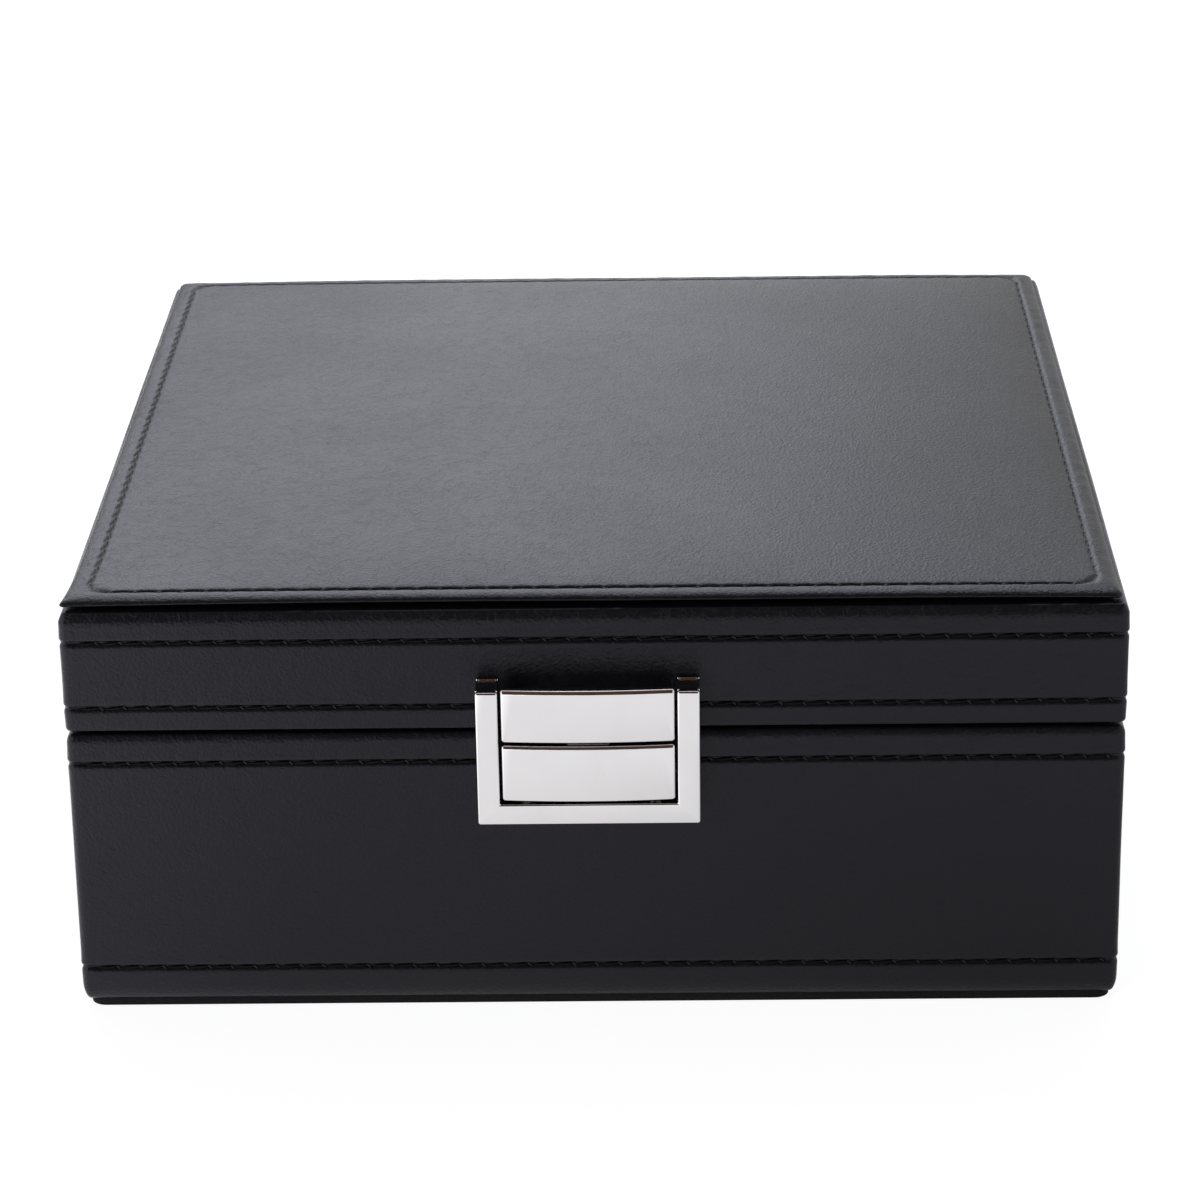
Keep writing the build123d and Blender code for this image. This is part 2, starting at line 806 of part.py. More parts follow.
with BuildPart() as catch_screws:
    head_back = catch_plate_front - spring_thickness
    shank_end = pocket_back + catch_screw_grip
    for x, z in catch_screw_places:
        with Locations((x, head_back - catch_screw_head_height / 2, z)):
            Cylinder(catch_screw_head, catch_screw_head_height, rotation=ALONG_Y)
        with Locations((x, (head_back + shank_end) / 2, z)):
            Cylinder(catch_screw_radius, shank_end - head_back, rotation=ALONG_Y)
write(catch_screws, "catch_screws")

# Clasp: strike on the lid, with the tongue that the catch holds
with BuildPart() as strike:
    add(bowed_plate(strike_bottom, strike_height))
    block_depth = front_face - plate_core_y
    with Locations((clasp_x, plate_core_y + block_depth / 2, strike_block_bottom)):
        Box(strike_block_width, block_depth, strike_block_height, align=SEATED)
    with Locations((clasp_x, tongue_back - tongue_thickness / 2, tongue_end)):
        Box(tongue_width, tongue_thickness, strike_screw_z - tongue_end, align=SEATED)
    with Locations((clasp_x, tongue_back + nose_depth / 2, tongue_end)):
        Box(tongue_width, nose_depth, nose_height, align=SEATED)
    nose_edges = strike.edges().filter_by(Axis.X).group_by(Axis.Z)[0].sort_by(Axis.Y)
    chamfer(nose_edges[-1], nose_depth - screw_clearance)
    cut_front_holes(
        strike_screw_places,
        clasp_screw_radius + screw_clearance,
        front_face - clasp_screw_grip - screw_clearance,
        front_face + overrun,
    )
write(strike, "clasp_strike")

with BuildPart() as strike_screws:
    add(wall_screws(strike_screw_places))
write(strike_screws, "strike_screws")

# Tray: floor and walls
with BuildPart() as tray_base:
    with Locations((0, 0, tray_bottom)):
        Box(tray_width, tray_depth, tray_floor, align=SEATED)
write(tray_base, "tray_floor")

for name, side in {"front": -1, "back": 1}.items():
    with BuildPart() as tray_end:
        with Locations((0, side * (tray_depth - tray_wall) / 2, tray_floor_top)):
            Box(tray_width, tray_wall, tray_wall_height, align=SEATED)
    write(tray_end, f"tray_{name}_wall")

for name, side in SIDES.items():
    with BuildPart() as tray_side:
        with Locations((side * (tray_width - tray_wall) / 2, 0, tray_floor_top)):
            Box(tray_wall, tray_room_depth, tray_wall_height, align=SEATED)
    write(tray_side, f"tray_{name}_wall")

# Tray: dividers
with BuildPart() as tray_back_divider:
    with Locations((0, tray_divider_y, tray_floor_top)):
        Box(tray_room_width, tray_divider, tray_divider_height, align=SEATED)
write(tray_back_divider, "tray_divider_back")

with BuildPart() as tray_middle_divider:
    with Locations((0, tray_front_y, tray_floor_top)):
        Box(tray_divider, tray_front_depth, tray_divider_height, align=SEATED)
write(tray_middle_divider, "tray_divider_middle")

right_centre_x = (tray_divider + tray_half_width) / 2
right_divider_y = -tray_room_depth / 2 + tray_front_depth * tray_right_share
with BuildPart() as tray_right_divider:
    with Locations((right_centre_x, right_divider_y, tray_floor_top)):
        Box(tray_half_width, tray_divider, tray_divider_height, align=SEATED)
write(tray_right_divider, "tray_divider_right")

with BuildPart() as tray_rear_divider:
    with Locations((0, tray_back_y, tray_floor_top)):
        Box(tray_divider, tray_back_depth, tray_divider_height, align=SEATED)
write(tray_rear_divider, "tray_divider_rear")

# Tray: ring rolls and ribbon pulls
roll_length = tray_half_width - 2 * roll_end_gap
for index in range(roll_count):
    roll_y = -tray_room_depth / 2 + (index + 1 / 2) * roll_pitch
    with BuildPart() as roll:
        with BuildSketch(Plane.YZ.offset(-right_centre_x)):
            with Locations((roll_y, roll_centre_z)):
                Circle(roll_radius)
            with Locations((roll_y, tray_floor_top - roll_radius)):
                Rectangle(2 * roll_radius, 2 * roll_radius, mode=Mode.SUBTRACT)
        extrude(amount=roll_length / 2, both=True)
    write(roll, f"ring_roll_{index + 1}")

for name, side in SIDES.items():
    pull_x = side * (tray_room_width - pull_thickness) / 2
    loop_x = side * (tray_room_width / 2 - pull_loop_radius)
    loop_z = tray_top + pull_loop_radius
    with BuildPart() as pull:
        with BuildSketch(Plane.XZ):
            with Locations((pull_x, loop_z)):
                Rectangle(pull_thickness, pull_leg + pull_loop_radius, align=(Align.CENTER, Align.MAX))
            with Locations((loop_x, loop_z)):
                Circle(pull_loop_radius)
                Circle(pull_loop_radius - pull_ribbon, mode=Mode.SUBTRACT)
        extrude(amount=pull_width / 2, both=True)
    write(pull, f"tray_pull_{name}")
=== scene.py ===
"""Dresses a square leather jewellery box: sewn leather covers, padded top, press clasp, mirror and velvet tray.

Metres, +Z up, -Y towards the clasp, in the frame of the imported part.
"""

import json
import logging
import math
import random
from collections.abc import Callable, Iterator, Sequence
from contextlib import contextmanager
from dataclasses import dataclass
from enum import Enum
from functools import cached_property

import bmesh
import bpy
from mathutils import Euler, Matrix, Vector, noise

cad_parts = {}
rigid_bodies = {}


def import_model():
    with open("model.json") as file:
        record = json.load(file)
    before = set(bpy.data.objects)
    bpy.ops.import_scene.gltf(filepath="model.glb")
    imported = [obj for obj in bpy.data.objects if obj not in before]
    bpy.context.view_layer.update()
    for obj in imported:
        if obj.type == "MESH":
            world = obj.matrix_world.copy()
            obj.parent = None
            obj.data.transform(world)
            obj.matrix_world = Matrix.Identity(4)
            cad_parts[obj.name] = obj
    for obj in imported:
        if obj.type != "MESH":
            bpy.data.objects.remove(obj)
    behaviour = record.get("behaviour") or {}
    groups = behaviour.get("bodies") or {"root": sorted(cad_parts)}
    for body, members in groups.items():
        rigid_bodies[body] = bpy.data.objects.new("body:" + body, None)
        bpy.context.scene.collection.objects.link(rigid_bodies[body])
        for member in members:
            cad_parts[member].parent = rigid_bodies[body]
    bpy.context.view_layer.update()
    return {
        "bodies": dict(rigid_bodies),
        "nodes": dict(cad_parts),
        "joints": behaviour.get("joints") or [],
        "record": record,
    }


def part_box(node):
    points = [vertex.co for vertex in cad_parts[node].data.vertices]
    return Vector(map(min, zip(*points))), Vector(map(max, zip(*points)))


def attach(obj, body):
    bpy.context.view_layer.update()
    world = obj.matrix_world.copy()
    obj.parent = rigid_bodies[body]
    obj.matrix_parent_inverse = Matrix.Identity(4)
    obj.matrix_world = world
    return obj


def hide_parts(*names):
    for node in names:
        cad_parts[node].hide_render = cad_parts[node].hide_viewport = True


MM = 0.001
NEAR = 0.01 * MM
PARALLEL = 0.999
X, Y, Z = range(3)
WALLS = ("front", "back", "left", "right")
WHITE = (1.0, 1.0, 1.0, 1.0)

# Angles in degrees, above which two faces meet in an edge
CAST_EDGE = 35.0
CLOTH_EDGE = 50.0
SOFT_EDGE = 60.0

log = logging.getLogger("jewellery_box")

Edge = bmesh.types.BMEdge
Face = bmesh.types.BMFace
EdgeTest = Callable[[Edge], bool]
FaceTest = Callable[[Face], bool]
Socket = bpy.types.NodeSocket
Material = bpy.types.Material
Colour = tuple[float, float, float]
Span = tuple[float, float]
Stitch = tuple[Vector, Vector, Vector]


class Body(Enum):
    """The moving bodies of the box."""

    BASE = "base"
    LID = "lid"
    BUTTON = "button"
    TRAY = "tray"


class Side(Enum):
    """The four walls, each with its outward direction and the direction along it."""

    FRONT = ((0, -1, 0), (1, 0, 0))
    RIGHT = ((1, 0, 0), (0, 1, 0))
    BACK = ((0, 1, 0), (-1, 0, 0))
    LEFT = ((-1, 0, 0), (0, -1, 0))

    def __init__(self, outward: Sequence[int], along: Sequence[int]) -> None:
        """Takes the two directions."""
        self.outward, self.along = Vector(outward), Vector(along)


# Tests that pick edges and faces by place, direction or angle


def runs_along(axis: int) -> EdgeTest:
    """Gives a test for edges parallel to one axis."""
    return lambda edge: abs(edge.verts[1].co[axis] - edge.verts[0].co[axis]) > PARALLEL * edge.calc_length()


def longer_than(length: float) -> EdgeTest:
    """Gives a test for edges longer than a length."""
    return lambda edge: edge.calc_length() > length


def sharper_than(degrees: float) -> EdgeTest:
    """Gives a test for edges whose two faces meet at more than an angle."""
    return lambda edge: edge.calc_face_angle(0.0) > math.radians(degrees)


def lies_at(level: float, axis: int = Z) -> EdgeTest | FaceTest:
    """Gives a test for edges and faces that lie at one level of an axis."""
    return lambda element: all(abs(vert.co[axis] - level) < NEAR for vert in element.verts)


def sharp_at(*levels: float, axis: int = Z) -> EdgeTest:
    """Gives a test for sharp edges that lie at one of some levels of an axis."""
    sharp, flat = sharper_than(CLOTH_EDGE), [lies_at(level, axis) for level in levels]
    return lambda edge: sharp(edge) and any(test(edge) for test in flat)


class Piece:
    """A mesh that is shaped step by step in edit mode."""

    def __init__(self, obj: bpy.types.Object) -> None:
        """Takes over an object."""
        self.obj = obj

    @classmethod
    def settled(cls, name: str) -> "Piece":
        """Names the newest primitive and puts its place into its mesh."""
        obj = bpy.context.active_object
        obj.name = obj.data.name = name
        bpy.ops.object.transform_apply(location=True, rotation=True, scale=True)
        return cls(obj)

    @classmethod
    def box(cls, name: str, low: Sequence[float], high: Sequence[float]) -> "Piece":
        """Adds a cube that fills the room between two corners."""
        low, high = Vector(low), Vector(high)
        bpy.ops.mesh.primitive_cube_add(size=1.0, location=(low + high) / 2, scale=high - low)
        return cls.settled(name)

    @classmethod
    def grid(cls, name: str, lines: int, side: float) -> "Piece":
        """Adds a flat square grid around the origin."""
        bpy.ops.mesh.primitive_grid_add(x_subdivisions=lines - 1, y_subdivisions=lines - 1, size=side)
        return cls.settled(name)

    def select(self) -> None:
        """Makes this the active object and the only selected one."""
        bpy.ops.object.select_all(action="DESELECT")
        self.obj.select_set(True)
        bpy.context.view_layer.objects.active = self.obj

    @contextmanager
    def picked(self, mode: str, test: Callable | None = None) -> Iterator[None]:
        """Opens the mesh in edit mode.

        Args:
            mode: VERT, EDGE or FACE.
            test: says which edges or faces are selected. Without a test everything is.
        """
        self.select()
        bpy.ops.object.mode_set(mode="EDIT")
        bpy.ops.mesh.select_mode(type=mode)
        bpy.ops.mesh.select_all(action="DESELECT" if test else "SELECT")
        if test:
            mesh = bmesh.from_edit_mesh(self.obj.data)
            for element in filter(test, mesh.edges if mode == "EDGE" else mesh.faces):
                element.select_set(True)
            bmesh.update_edit_mesh(self.obj.data)
        yield
        bpy.ops.object.mode_set(mode="OBJECT")

    @staticmethod
    def draw_out(rise: float, scale: Sequence[float], centre: Sequence[float] = (0, 0, 0)) -> None:
        """Extrudes what is selected, lifts it and scales it about a point."""
        bpy.ops.mesh.extrude_region_move(TRANSFORM_OT_translate={"value": (0, 0, rise)})
        bpy.ops.transform.resize(value=scale, center_override=centre)

    def bevel(self, test: EdgeTest, width: float, segments: int = 3) -> "Piece":
        """Rounds the edges that pass a test."""
        with self.picked("EDGE", test):
            bpy.ops.mesh.bevel(offset=width, segments=segments, affect="EDGES")
        return self

    def window(self, border: float) -> "Piece":
        """Cuts a window down through a box and leaves a border round it."""
        with self.picked("FACE", lambda face: abs(face.normal.z) > PARALLEL):
            bpy.ops.mesh.inset(thickness=border, use_even_offset=True)
            bpy.ops.mesh.bridge_edge_loops()
        return self

    def extrude(self, test: FaceTest, move: Sequence[float]) -> "Piece":
        """Extrudes the faces that pass a test."""
        with self.picked("FACE", test):
            bpy.ops.mesh.extrude_region_move(TRANSFORM_OT_translate={"value": move})
        return self

    def divide(self, test: EdgeTest, cuts: int) -> "Piece":
        """Divides the edges that pass a test, with the faces between them."""
        with self.picked("EDGE", test):
            bpy.ops.mesh.subdivide(number_cuts=cuts)
        return self

    def slice(self, axis: int, *levels: float) -> "Piece":
        """Cuts the faces along planes across one axis."""
        normal = Vector([float(axis == other) for other in (X, Y, Z)])
        with self.picked("FACE"):
            for level in levels:
                bpy.ops.mesh.select_all(action="SELECT")
                bpy.ops.mesh.bisect(plane_co=normal * level, plane_no=normal)
        return self

    def push(self, move: Callable[[Vector], Vector]) -> "Piece":
        """Moves each vertex to what a function of its place gives."""
        for vert in self.obj.data.vertices:
            vert.co = move(vert.co.copy())
        self.obj.data.update()
        return self

    def puff(self, amount: Callable[[Vector], float]) -> "Piece":
        """Moves each vertex along its normal by what a function of its place gives."""
        normals = [vert.normal.copy() for vert in self.obj.data.vertices]
        for vert, normal in zip(self.obj.data.vertices, normals, strict=True):
            vert.co += normal * amount(vert.co)
        self.obj.data.update()
        return self

    def thicken(self, thickness: float, offset: float) -> "Piece":
        """Gives a skin its thickness, inwards at an offset of -1 and to both sides at 0."""
        modifier = self.obj.modifiers.new("Solidify", "SOLIDIFY")
        modifier.thickness, modifier.offset = thickness, offset
        self.select()
        bpy.ops.object.modifier_apply(modifier=modifier.name)
        return self

    def outside(self) -> "Piece":
        """Merges doubles and turns the faces outwards."""
        with self.picked("VERT"):
            bpy.ops.mesh.remove_doubles(threshold=0.1 * NEAR)
            bpy.ops.mesh.normals_make_consistent(inside=False)
        return self

    def join(self, *others: "Piece") -> "Piece":
        """Takes other pieces into this one."""
        self.select()
        for piece in others:
            piece.obj.select_set(True)
        bpy.ops.object.join()
        return self

    def copy(self, name: str, move: Sequence[float]) -> "Piece":
        """Copies the piece with a mesh of its own, moved in the mesh."""
        obj = self.obj.copy()
        obj.data = self.obj.data.copy()
        obj.name = obj.data.name = name
        obj.data.transform(Matrix.Translation(move))
        bpy.context.scene.collection.objects.link(obj)
        return Piece(obj)

    def smooth(self, degrees: float = 40.0) -> "Piece":
        """Shades the piece smooth up to an angle."""
        self.select()
        bpy.ops.object.shade_smooth_by_angle(angle=math.radians(degrees))
        return self

    def fit(self, finish: "Finish", body: Body, *nodes: str) -> "Piece":
        """Gives the piece its body and finish, and hides the nodes it stands for."""
        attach(self.obj, body.value)
        finish.coat(self.obj)
        if nodes:
            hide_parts(*nodes)
        log.info("%s: %d faces on %s", self.obj.name, len(self.obj.data.polygons), body.value)
        return self


# Finishes


def shade(colour: Colour, factor: float) -> Colour:
    """Gives a colour made lighter or darker."""
    return tuple(min(1.0, part * factor) for part in colour)


class Recipe:
    """The nodes of a material or a world, put together step by step."""

    def __init__(self, made: Material | bpy.types.World) -> None:
        """Takes over a new material or world."""
        made.use_nodes = True
        self.made = made
        self.nodes = made.node_tree.nodes
        self.links = made.node_tree.links

    @cached_property
    def place(self) -> Socket:
        """Gives the place on the object."""
        return self.add("ShaderNodeTexCoord").outputs["Object"]

    def add(self, kind: str, inputs: dict | None = None, **settings: object) -> bpy.types.Node:
        """Adds a node.

        Args:
            kind: the node's type.
            inputs: socket name or number, and a value or the output to link.
            settings: the node's own settings.

        Returns:
            The node.
        """
        node = self.nodes.new(kind)
        for key, value in settings.items():
            setattr(node, key, value)
        self.feed(node, inputs or {})
        return node

    def feed(self, node: bpy.types.Node, inputs: dict) -> None:
        """Sets or links a node's inputs."""
        for socket, value in inputs.items():
            if isinstance(value, Socket):
                self.links.new(value, node.inputs[socket])
            else:
                node.inputs[socket].default_value = value

    def stretched(self, *scale: float) -> Socket:
        """Gives the place, stretched by a scale for each axis."""
        return self.add("ShaderNodeMapping", {"Vector": self.place, "Scale": scale}).outputs["Vector"]

    def clouds(self, scale: float, detail: float, place: Socket | None = None, twist: float = 0.0) -> Socket:
        """Gives soft noise from 0 to 1, with a scale in waves for each metre."""
        inputs = {"Vector": place or self.place, "Scale": scale, "Detail": detail, "Distortion": twist}
        return self.add("ShaderNodeTexNoise", inputs).outputs[0]

    def pebbles(self, scale: float) -> Socket:
        """Gives the distance from the middle of rounded cells."""
        inputs = {"Vector": self.place, "Scale": scale, "Smoothness": 0.5}
        return self.add("ShaderNodeTexVoronoi", inputs, feature="SMOOTH_F1").outputs["Distance"]

    def span(self, value: Socket, start: Span, end: Span) -> Socket:
        """Maps a range of a value to another range, with clamped ends."""
        inputs = {"Value": value, "From Min": start[0], "From Max": start[1], "To Min": end[0], "To Max": end[1]}
        return self.add("ShaderNodeMapRange", inputs).outputs["Result"]

    def calculate(self, operation: str, *parts: Socket | float) -> Socket:
        """Gives the result of a sum on some values."""
        return self.add("ShaderNodeMath", dict(enumerate(parts)), operation=operation).outputs[0]

    def sum(self, *parts: tuple[Socket, float]) -> Socket:
        """Adds up values, each times its weight."""
        total: Socket | float = 0.0
        for value, weight in parts:
            total = self.calculate("MULTIPLY_ADD", value, weight, total)
        return total

    def ridge(self, value: Socket, width: float) -> Socket:
        """Gives 0 along the middle line of a noise and 1 away from it."""
        away = self.calculate("ABSOLUTE", self.calculate("SUBTRACT", value, 0.5))
        return self.span(away, (0.0, width), (0.0, 1.0))

    def tint(self, value: Socket, colour: Colour, dark: float, light: float) -> Socket:
        """Gives a colour that goes from a darker to a lighter tone."""
        ramp = self.add("ShaderNodeValToRGB", {"Fac": value})
        for stop, factor in zip(ramp.color_ramp.elements, (dark, light), strict=True):
            stop.color = (*shade(colour, factor), 1.0)
        return ramp.outputs["Color"]

    def relief(self, height: Socket, depth: float) -> Socket:
        """Gives the normal of a surface with a relief of some depth."""
        return self.add("ShaderNodeBump", {"Height": height, "Distance": depth, "Strength": 1.0}).outputs["Normal"]

    def seen(self) -> Socket:
        """Gives 1 for rays from the camera, mirrors and glass, and 0 for light."""
        rays = self.add("ShaderNodeLightPath").outputs
        seen = self.calculate("MAXIMUM", rays["Is Camera Ray"], rays["Is Glossy Ray"])
        return self.calculate("MAXIMUM", seen, rays["Is Transmission Ray"])

    def surface(self, **inputs: object) -> Material:
        """Sets the principled shader and gives the material."""
        named = {key.replace("_", " ").title().replace("Ior", "IOR"): value for key, value in inputs.items()}
        self.feed(self.nodes["Principled BSDF"], named)
        return self.made


@dataclass(frozen=True)
class Finish:
    """A named surface finish that goes with a material slot of the record."""

    name: str
    slot: str
    colour: Colour

    def coat(self, obj: bpy.types.Object) -> None:
        """Puts the material on an object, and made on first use."""
        title = f"{self.name}_finish"
        made = bpy.data.materials.get(title) or self.make(Recipe(bpy.data.materials.new(title)))
        obj.data.materials.clear()
        obj.data.materials.append(made)

    def make(self, recipe: Recipe) -> Material:
        """Puts the material together."""
        raise NotImplementedError


@dataclass(frozen=True)
class Leather(Finish):
    """Smooth imitation leather with a fine grain and faint creases."""

    roughness: float = 0.37
    roughness_play: float = 0.06
    grain_depth: float = 0.085 * MM

    def make(self, recipe: Recipe) -> Material:
        """Puts the material together."""
        pores = recipe.clouds(2600.0, 3.0)
        creases = recipe.ridge(recipe.clouds(210.0, 6.0, twist=1.5), 0.03)
        height = recipe.sum((recipe.pebbles(1700.0), 0.7), (pores, 0.5), (creases, 0.25))
        rub = recipe.sum((recipe.clouds(38.0, 3.0), 0.10), (pores, 0.06))
        rough = (self.roughness - self.roughness_play, self.roughness + self.roughness_play)
        return recipe.surface(
            base_color=recipe.tint(pores, self.colour, 0.75, 1.3),
            roughness=recipe.span(rub, (0.0, 0.16), rough),
            ior=1.36,
            specular_tint=(0.88, 0.88, 1.0, 1.0),
            normal=recipe.relief(height, self.grain_depth),
        )


@dataclass(frozen=True)
class Thread(Finish):
    """Twisted sewing thread."""

    ior: float = 1.25

    def make(self, recipe: Recipe) -> Material:
        """Puts the material together."""
        strands = recipe.clouds(5200.0, 2.0)
        return recipe.surface(
            base_color=recipe.tint(strands, self.colour, 0.6, 1.6),
            roughness=0.6,
            ior=self.ior,
            normal=recipe.relief(strands, 0.06 * MM),
        )


@dataclass(frozen=True)
class Plating(Finish):
    """Bright plated metal with faint smears."""

    roughness: float = 0.08

    def make(self, recipe: Recipe) -> Material:
        """Puts the material together."""
        smears = recipe.clouds(120.0, 4.0, twist=0.6)
        hairs = recipe.clouds(900.0, 2.0, recipe.stretched(1.0, 1.0, 14.0))
        return recipe.surface(
            base_color=recipe.tint(smears, self.colour, 0.94, 1.04),
            metallic=1.0,
            roughness=recipe.span(smears, (0.3, 0.7), (self.roughness * 0.7, self.roughness * 1.5)),
            normal=recipe.relief(recipe.sum((hairs, 0.3), (smears, 1.0)), 0.006 * MM),
        )


@dataclass(frozen=True)
class Velvet(Finish):
    """Short velvet pile, lighter in patches where it leans: painted sheen."""

    def make(self, recipe: Recipe) -> Material:
        """Puts the material together."""
        pile = recipe.clouds(2600.0, 2.0)
        # The fine pile noise is the pile's own tone; the large patches are painted sheen where the pile leans.
        pile_and_painted_sheen = recipe.sum((pile, 0.55), (recipe.clouds(42.0, 3.0, twist=0.8), 0.45))
        return recipe.surface(
            base_color=recipe.tint(pile_and_painted_sheen, self.colour, 0.55, 1.5),
            roughness=0.92,
            ior=1.3,
            sheen_weight=0.55,
            sheen_roughness=0.35,
            sheen_tint=(*shade(self.colour, 3.5), 1.0),
            normal=recipe.relief(pile, 0.18 * MM),
        )


@dataclass(frozen=True)
class Ribbon(Finish):
    """Woven satin ribbon with cross ribs."""

    def make(self, recipe: Recipe) -> Material:
        """Puts the material together."""
        ribs = recipe.clouds(1500.0, 1.0, recipe.stretched(1.0, 0.08, 1.0))
        return recipe.surface(
            base_color=recipe.tint(ribs, self.colour, 0.6, 1.5),
            roughness=0.42,
            sheen_weight=0.3,
            normal=recipe.relief(ribs, 0.08 * MM),
        )


@dataclass(frozen=True)
class Board(Finish):
    """Pressed board, card or foam with flecks."""

    fleck: float = 700.0
    depth: float = 0.06 * MM

    def make(self, recipe: Recipe) -> Material:
        """Puts the material together."""
        flecks = recipe.clouds(self.fleck, 5.0)
        return recipe.surface(
            base_color=recipe.tint(flecks, self.colour, 0.65, 1.35),
            roughness=recipe.span(flecks, (0.3, 0.7), (0.78, 0.95)),
            ior=1.35,
            normal=recipe.relief(flecks, self.depth),
        )


@dataclass(frozen=True)
class Mirror(Finish):
    """Silvered glass with the faintest wipe marks."""

    def make(self, recipe: Recipe) -> Material:
        """Puts the material together."""
        wipes = recipe.clouds(30.0, 5.0, recipe.stretched(1.0, 2.5, 1.0), twist=1.0)
        return recipe.surface(
            base_color=recipe.tint(wipes, self.colour, 0.97, 1.0),
            metallic=1.0,
            roughness=recipe.span(wipes, (0.3, 0.8), (0.012, 0.035)),
        )


BLACK_LEATHER = Leather("black_leather", "black_leather", (0.0060, 0.0058, 0.0080))
BLACK_THREAD = Thread("black_thread", "black_leather", (0.0045, 0.0042, 0.0042))
# Thread ends: the same thread in a lighter colour, a painted glint where each stitch dips into its hole.
PAINTED_GLINT_THREAD_END = Thread("thread_end_painted_glint", "black_leather", (0.016, 0.015, 0.016), ior=1.5)
CHROME = Plating("chrome_plate", "chromed_zinc", (0.70, 0.685, 0.69))
NICKEL = Plating("nickel_plate", "plated_steel", (0.64, 0.62, 0.59), roughness=0.2)
SPRING_STEEL = Plating("spring_steel", "spring_steel", (0.45, 0.45, 0.46), roughness=0.28)
GREY_VELVET = Velvet("grey_velvet", "velvet", (0.092, 0.083, 0.077))
ROLL_VELVET = Velvet("roll_velvet", "velvet_roll", (0.105, 0.095, 0.088))
BLACK_RIBBON = Ribbon("black_ribbon", "ribbon", (0.013, 0.013, 0.015))
FIBREBOARD = Board("fibreboard", "fibreboard", (0.22, 0.14, 0.075))
GREY_CARD = Board("grey_card", "grey_card", (0.15, 0.145, 0.13), fleck=1100.0)
BLACK_CARD = Board("black_card", "black_card", (0.008, 0.008, 0.009), fleck=1600.0)
FOAM = Board("pale_foam", "foam", (0.70, 0.64, 0.50), fleck=1800.0, depth=0.25 * MM)
SILVERED_GLASS = Mirror("silvered_glass", "mirror_glass", (0.90, 0.92, 0.92))


# Sewn leather


def bell(off: float) -> float:
    """Gives 1 at 0, falling to 0 on both sides."""
    return math.exp(-off * off)


def swell(*place: float) -> float:
    """Gives smooth noise at a place of three numbers."""
    return noise.noise(Vector(place))


def along_stitch(run: float, pitch: float) -> float:
    """Gives where a point is between needle holes, from -0.5 to 0.5 with the holes at the ends."""
    return (run / pitch) % 1.0 - 0.5


def at_hole(run: float, pitch: float, width: float) -> float:
    """Gives 1 at a needle hole, falling to 0 over a width in stitches."""
    return bell((0.5 - abs(along_stitch(run, pitch))) / width)


def gathered(run: float, pitch: float, draw: float = 0.4, reach: float = 0.25) -> float:
    """Moves a point along a sewn line towards the nearest needle hole, so that the holes come out sharp.

    Args:
        run: place along the line.
        pitch: length of a stitch.
        draw: what is left of a short distance from the hole.
        reach: which distances are short, in stitches.

    Returns:
        The new place along the line.
    """
    cell, part = divmod(run / pitch, 1.0)
    near = min(part, 1 - part)
    spread = (0.5 - draw * reach) / (0.5 - reach)
    drawn = draw * near if near < reach else draw * reach + spread * (near - reach)
    return (cell + (drawn if part < 0.5 else 1 - drawn)) * pitch


@dataclass
class SewnThread:
    """Short slanted pieces of one thread, laid along sewn lines."""

    length: float = 3.7 * MM
    radius: float = 0.30 * MM
    dip: float = 0.16 * MM
    slant: float = math.radians(4.0)
    slant_play: float = 0.04
    growth: Span = (0.93, 1.04)
    turn: float = 0.0
    offset: tuple[float, float, float] = (0.0, 0.0, 0.0)
    sides: int = 8
    rings: int = 4
    seed: int = 11

    def strand(self) -> Piece:
        """Models one short piece of thread, bent down at its ends."""
        bpy.ops.mesh.primitive_uv_sphere_add(
            segments=self.sides, ring_count=self.rings, radius=self.radius, rotation=(0, math.pi / 2, 0)
        )
        half = self.length / 2 - self.radius
        turn = Matrix.Rotation(self.turn, 3, "Z")

        def bend(place: Vector) -> Vector:
            """Draws a ball out to the strand's length, bends it down and turns it."""
            reach = place.x + half * (0 if abs(place.x) < NEAR else math.copysign(1, place.x))
            bent = Vector((reach, place.y, place.z - self.dip * (2 * reach / self.length) ** 2))
            return turn @ bent + Vector(self.offset)

        return Piece.settled("strand").push(bend)

    def lay(self, name: str, places: Sequence[Stitch]) -> Piece:
        """Lays a copy of the strand at each place.

        Args:
            name: name of the sewn line.
            places: middle, direction along the line and outward direction of each stitch.

        Returns:
            All the strands as one piece.
        """
        dice = random.Random(self.seed)
        model = self.strand().obj
        shape = [vert.co.copy() for vert in model.data.vertices]
        skin = [tuple(face.vertices) for face in model.data.polygons]
        points: list[Vector] = []
        faces: list[tuple[int, ...]] = []
        for middle, along, outward in places:
            slant = self.slant + dice.uniform(-self.slant_play, self.slant_play)
            axis = Matrix.Rotation(slant, 3, outward) @ along
            frame = Matrix((axis, outward.cross(axis), outward)).transposed()
            grow = dice.uniform(*self.growth)
            faces += [tuple(index + len(points) for index in face) for face in skin]
            points += [middle + frame @ Vector((spot.x * grow, spot.y, spot.z)) for spot in shape]
        bpy.data.objects.remove(model)
        mesh = bpy.data.meshes.new(name)
        mesh.from_pydata(points, [], faces)
        obj = bpy.data.objects.new(name, mesh)
        bpy.context.scene.collection.objects.link(obj)
        return Piece(obj).smooth(SOFT_EDGE)


STITCH = SewnThread()
STITCH_END = SewnThread(
    length=1.05 * MM,
    radius=0.15 * MM,
    dip=0.1 * MM,
    turn=math.radians(-46.0),
    offset=(2.1 * MM, -0.02 * MM, 0.24 * MM),
)
PAD_STITCH = SewnThread(length=3.3 * MM, radius=0.22 * MM)

Profile = tuple[Span, ...]
EDGE_STEPS = 6


def rolled(height: float, depth: float) -> Profile:
    """Gives an edge that rolls in, as heights from the edge and insets, ring by ring from the wall inwards."""
    turns = [math.pi / 2 * step / EDGE_STEPS for step in range(EDGE_STEPS + 1)]
    return tuple((height * (1 - math.sin(turn)), depth * (1 - math.cos(turn))) for turn in turns)


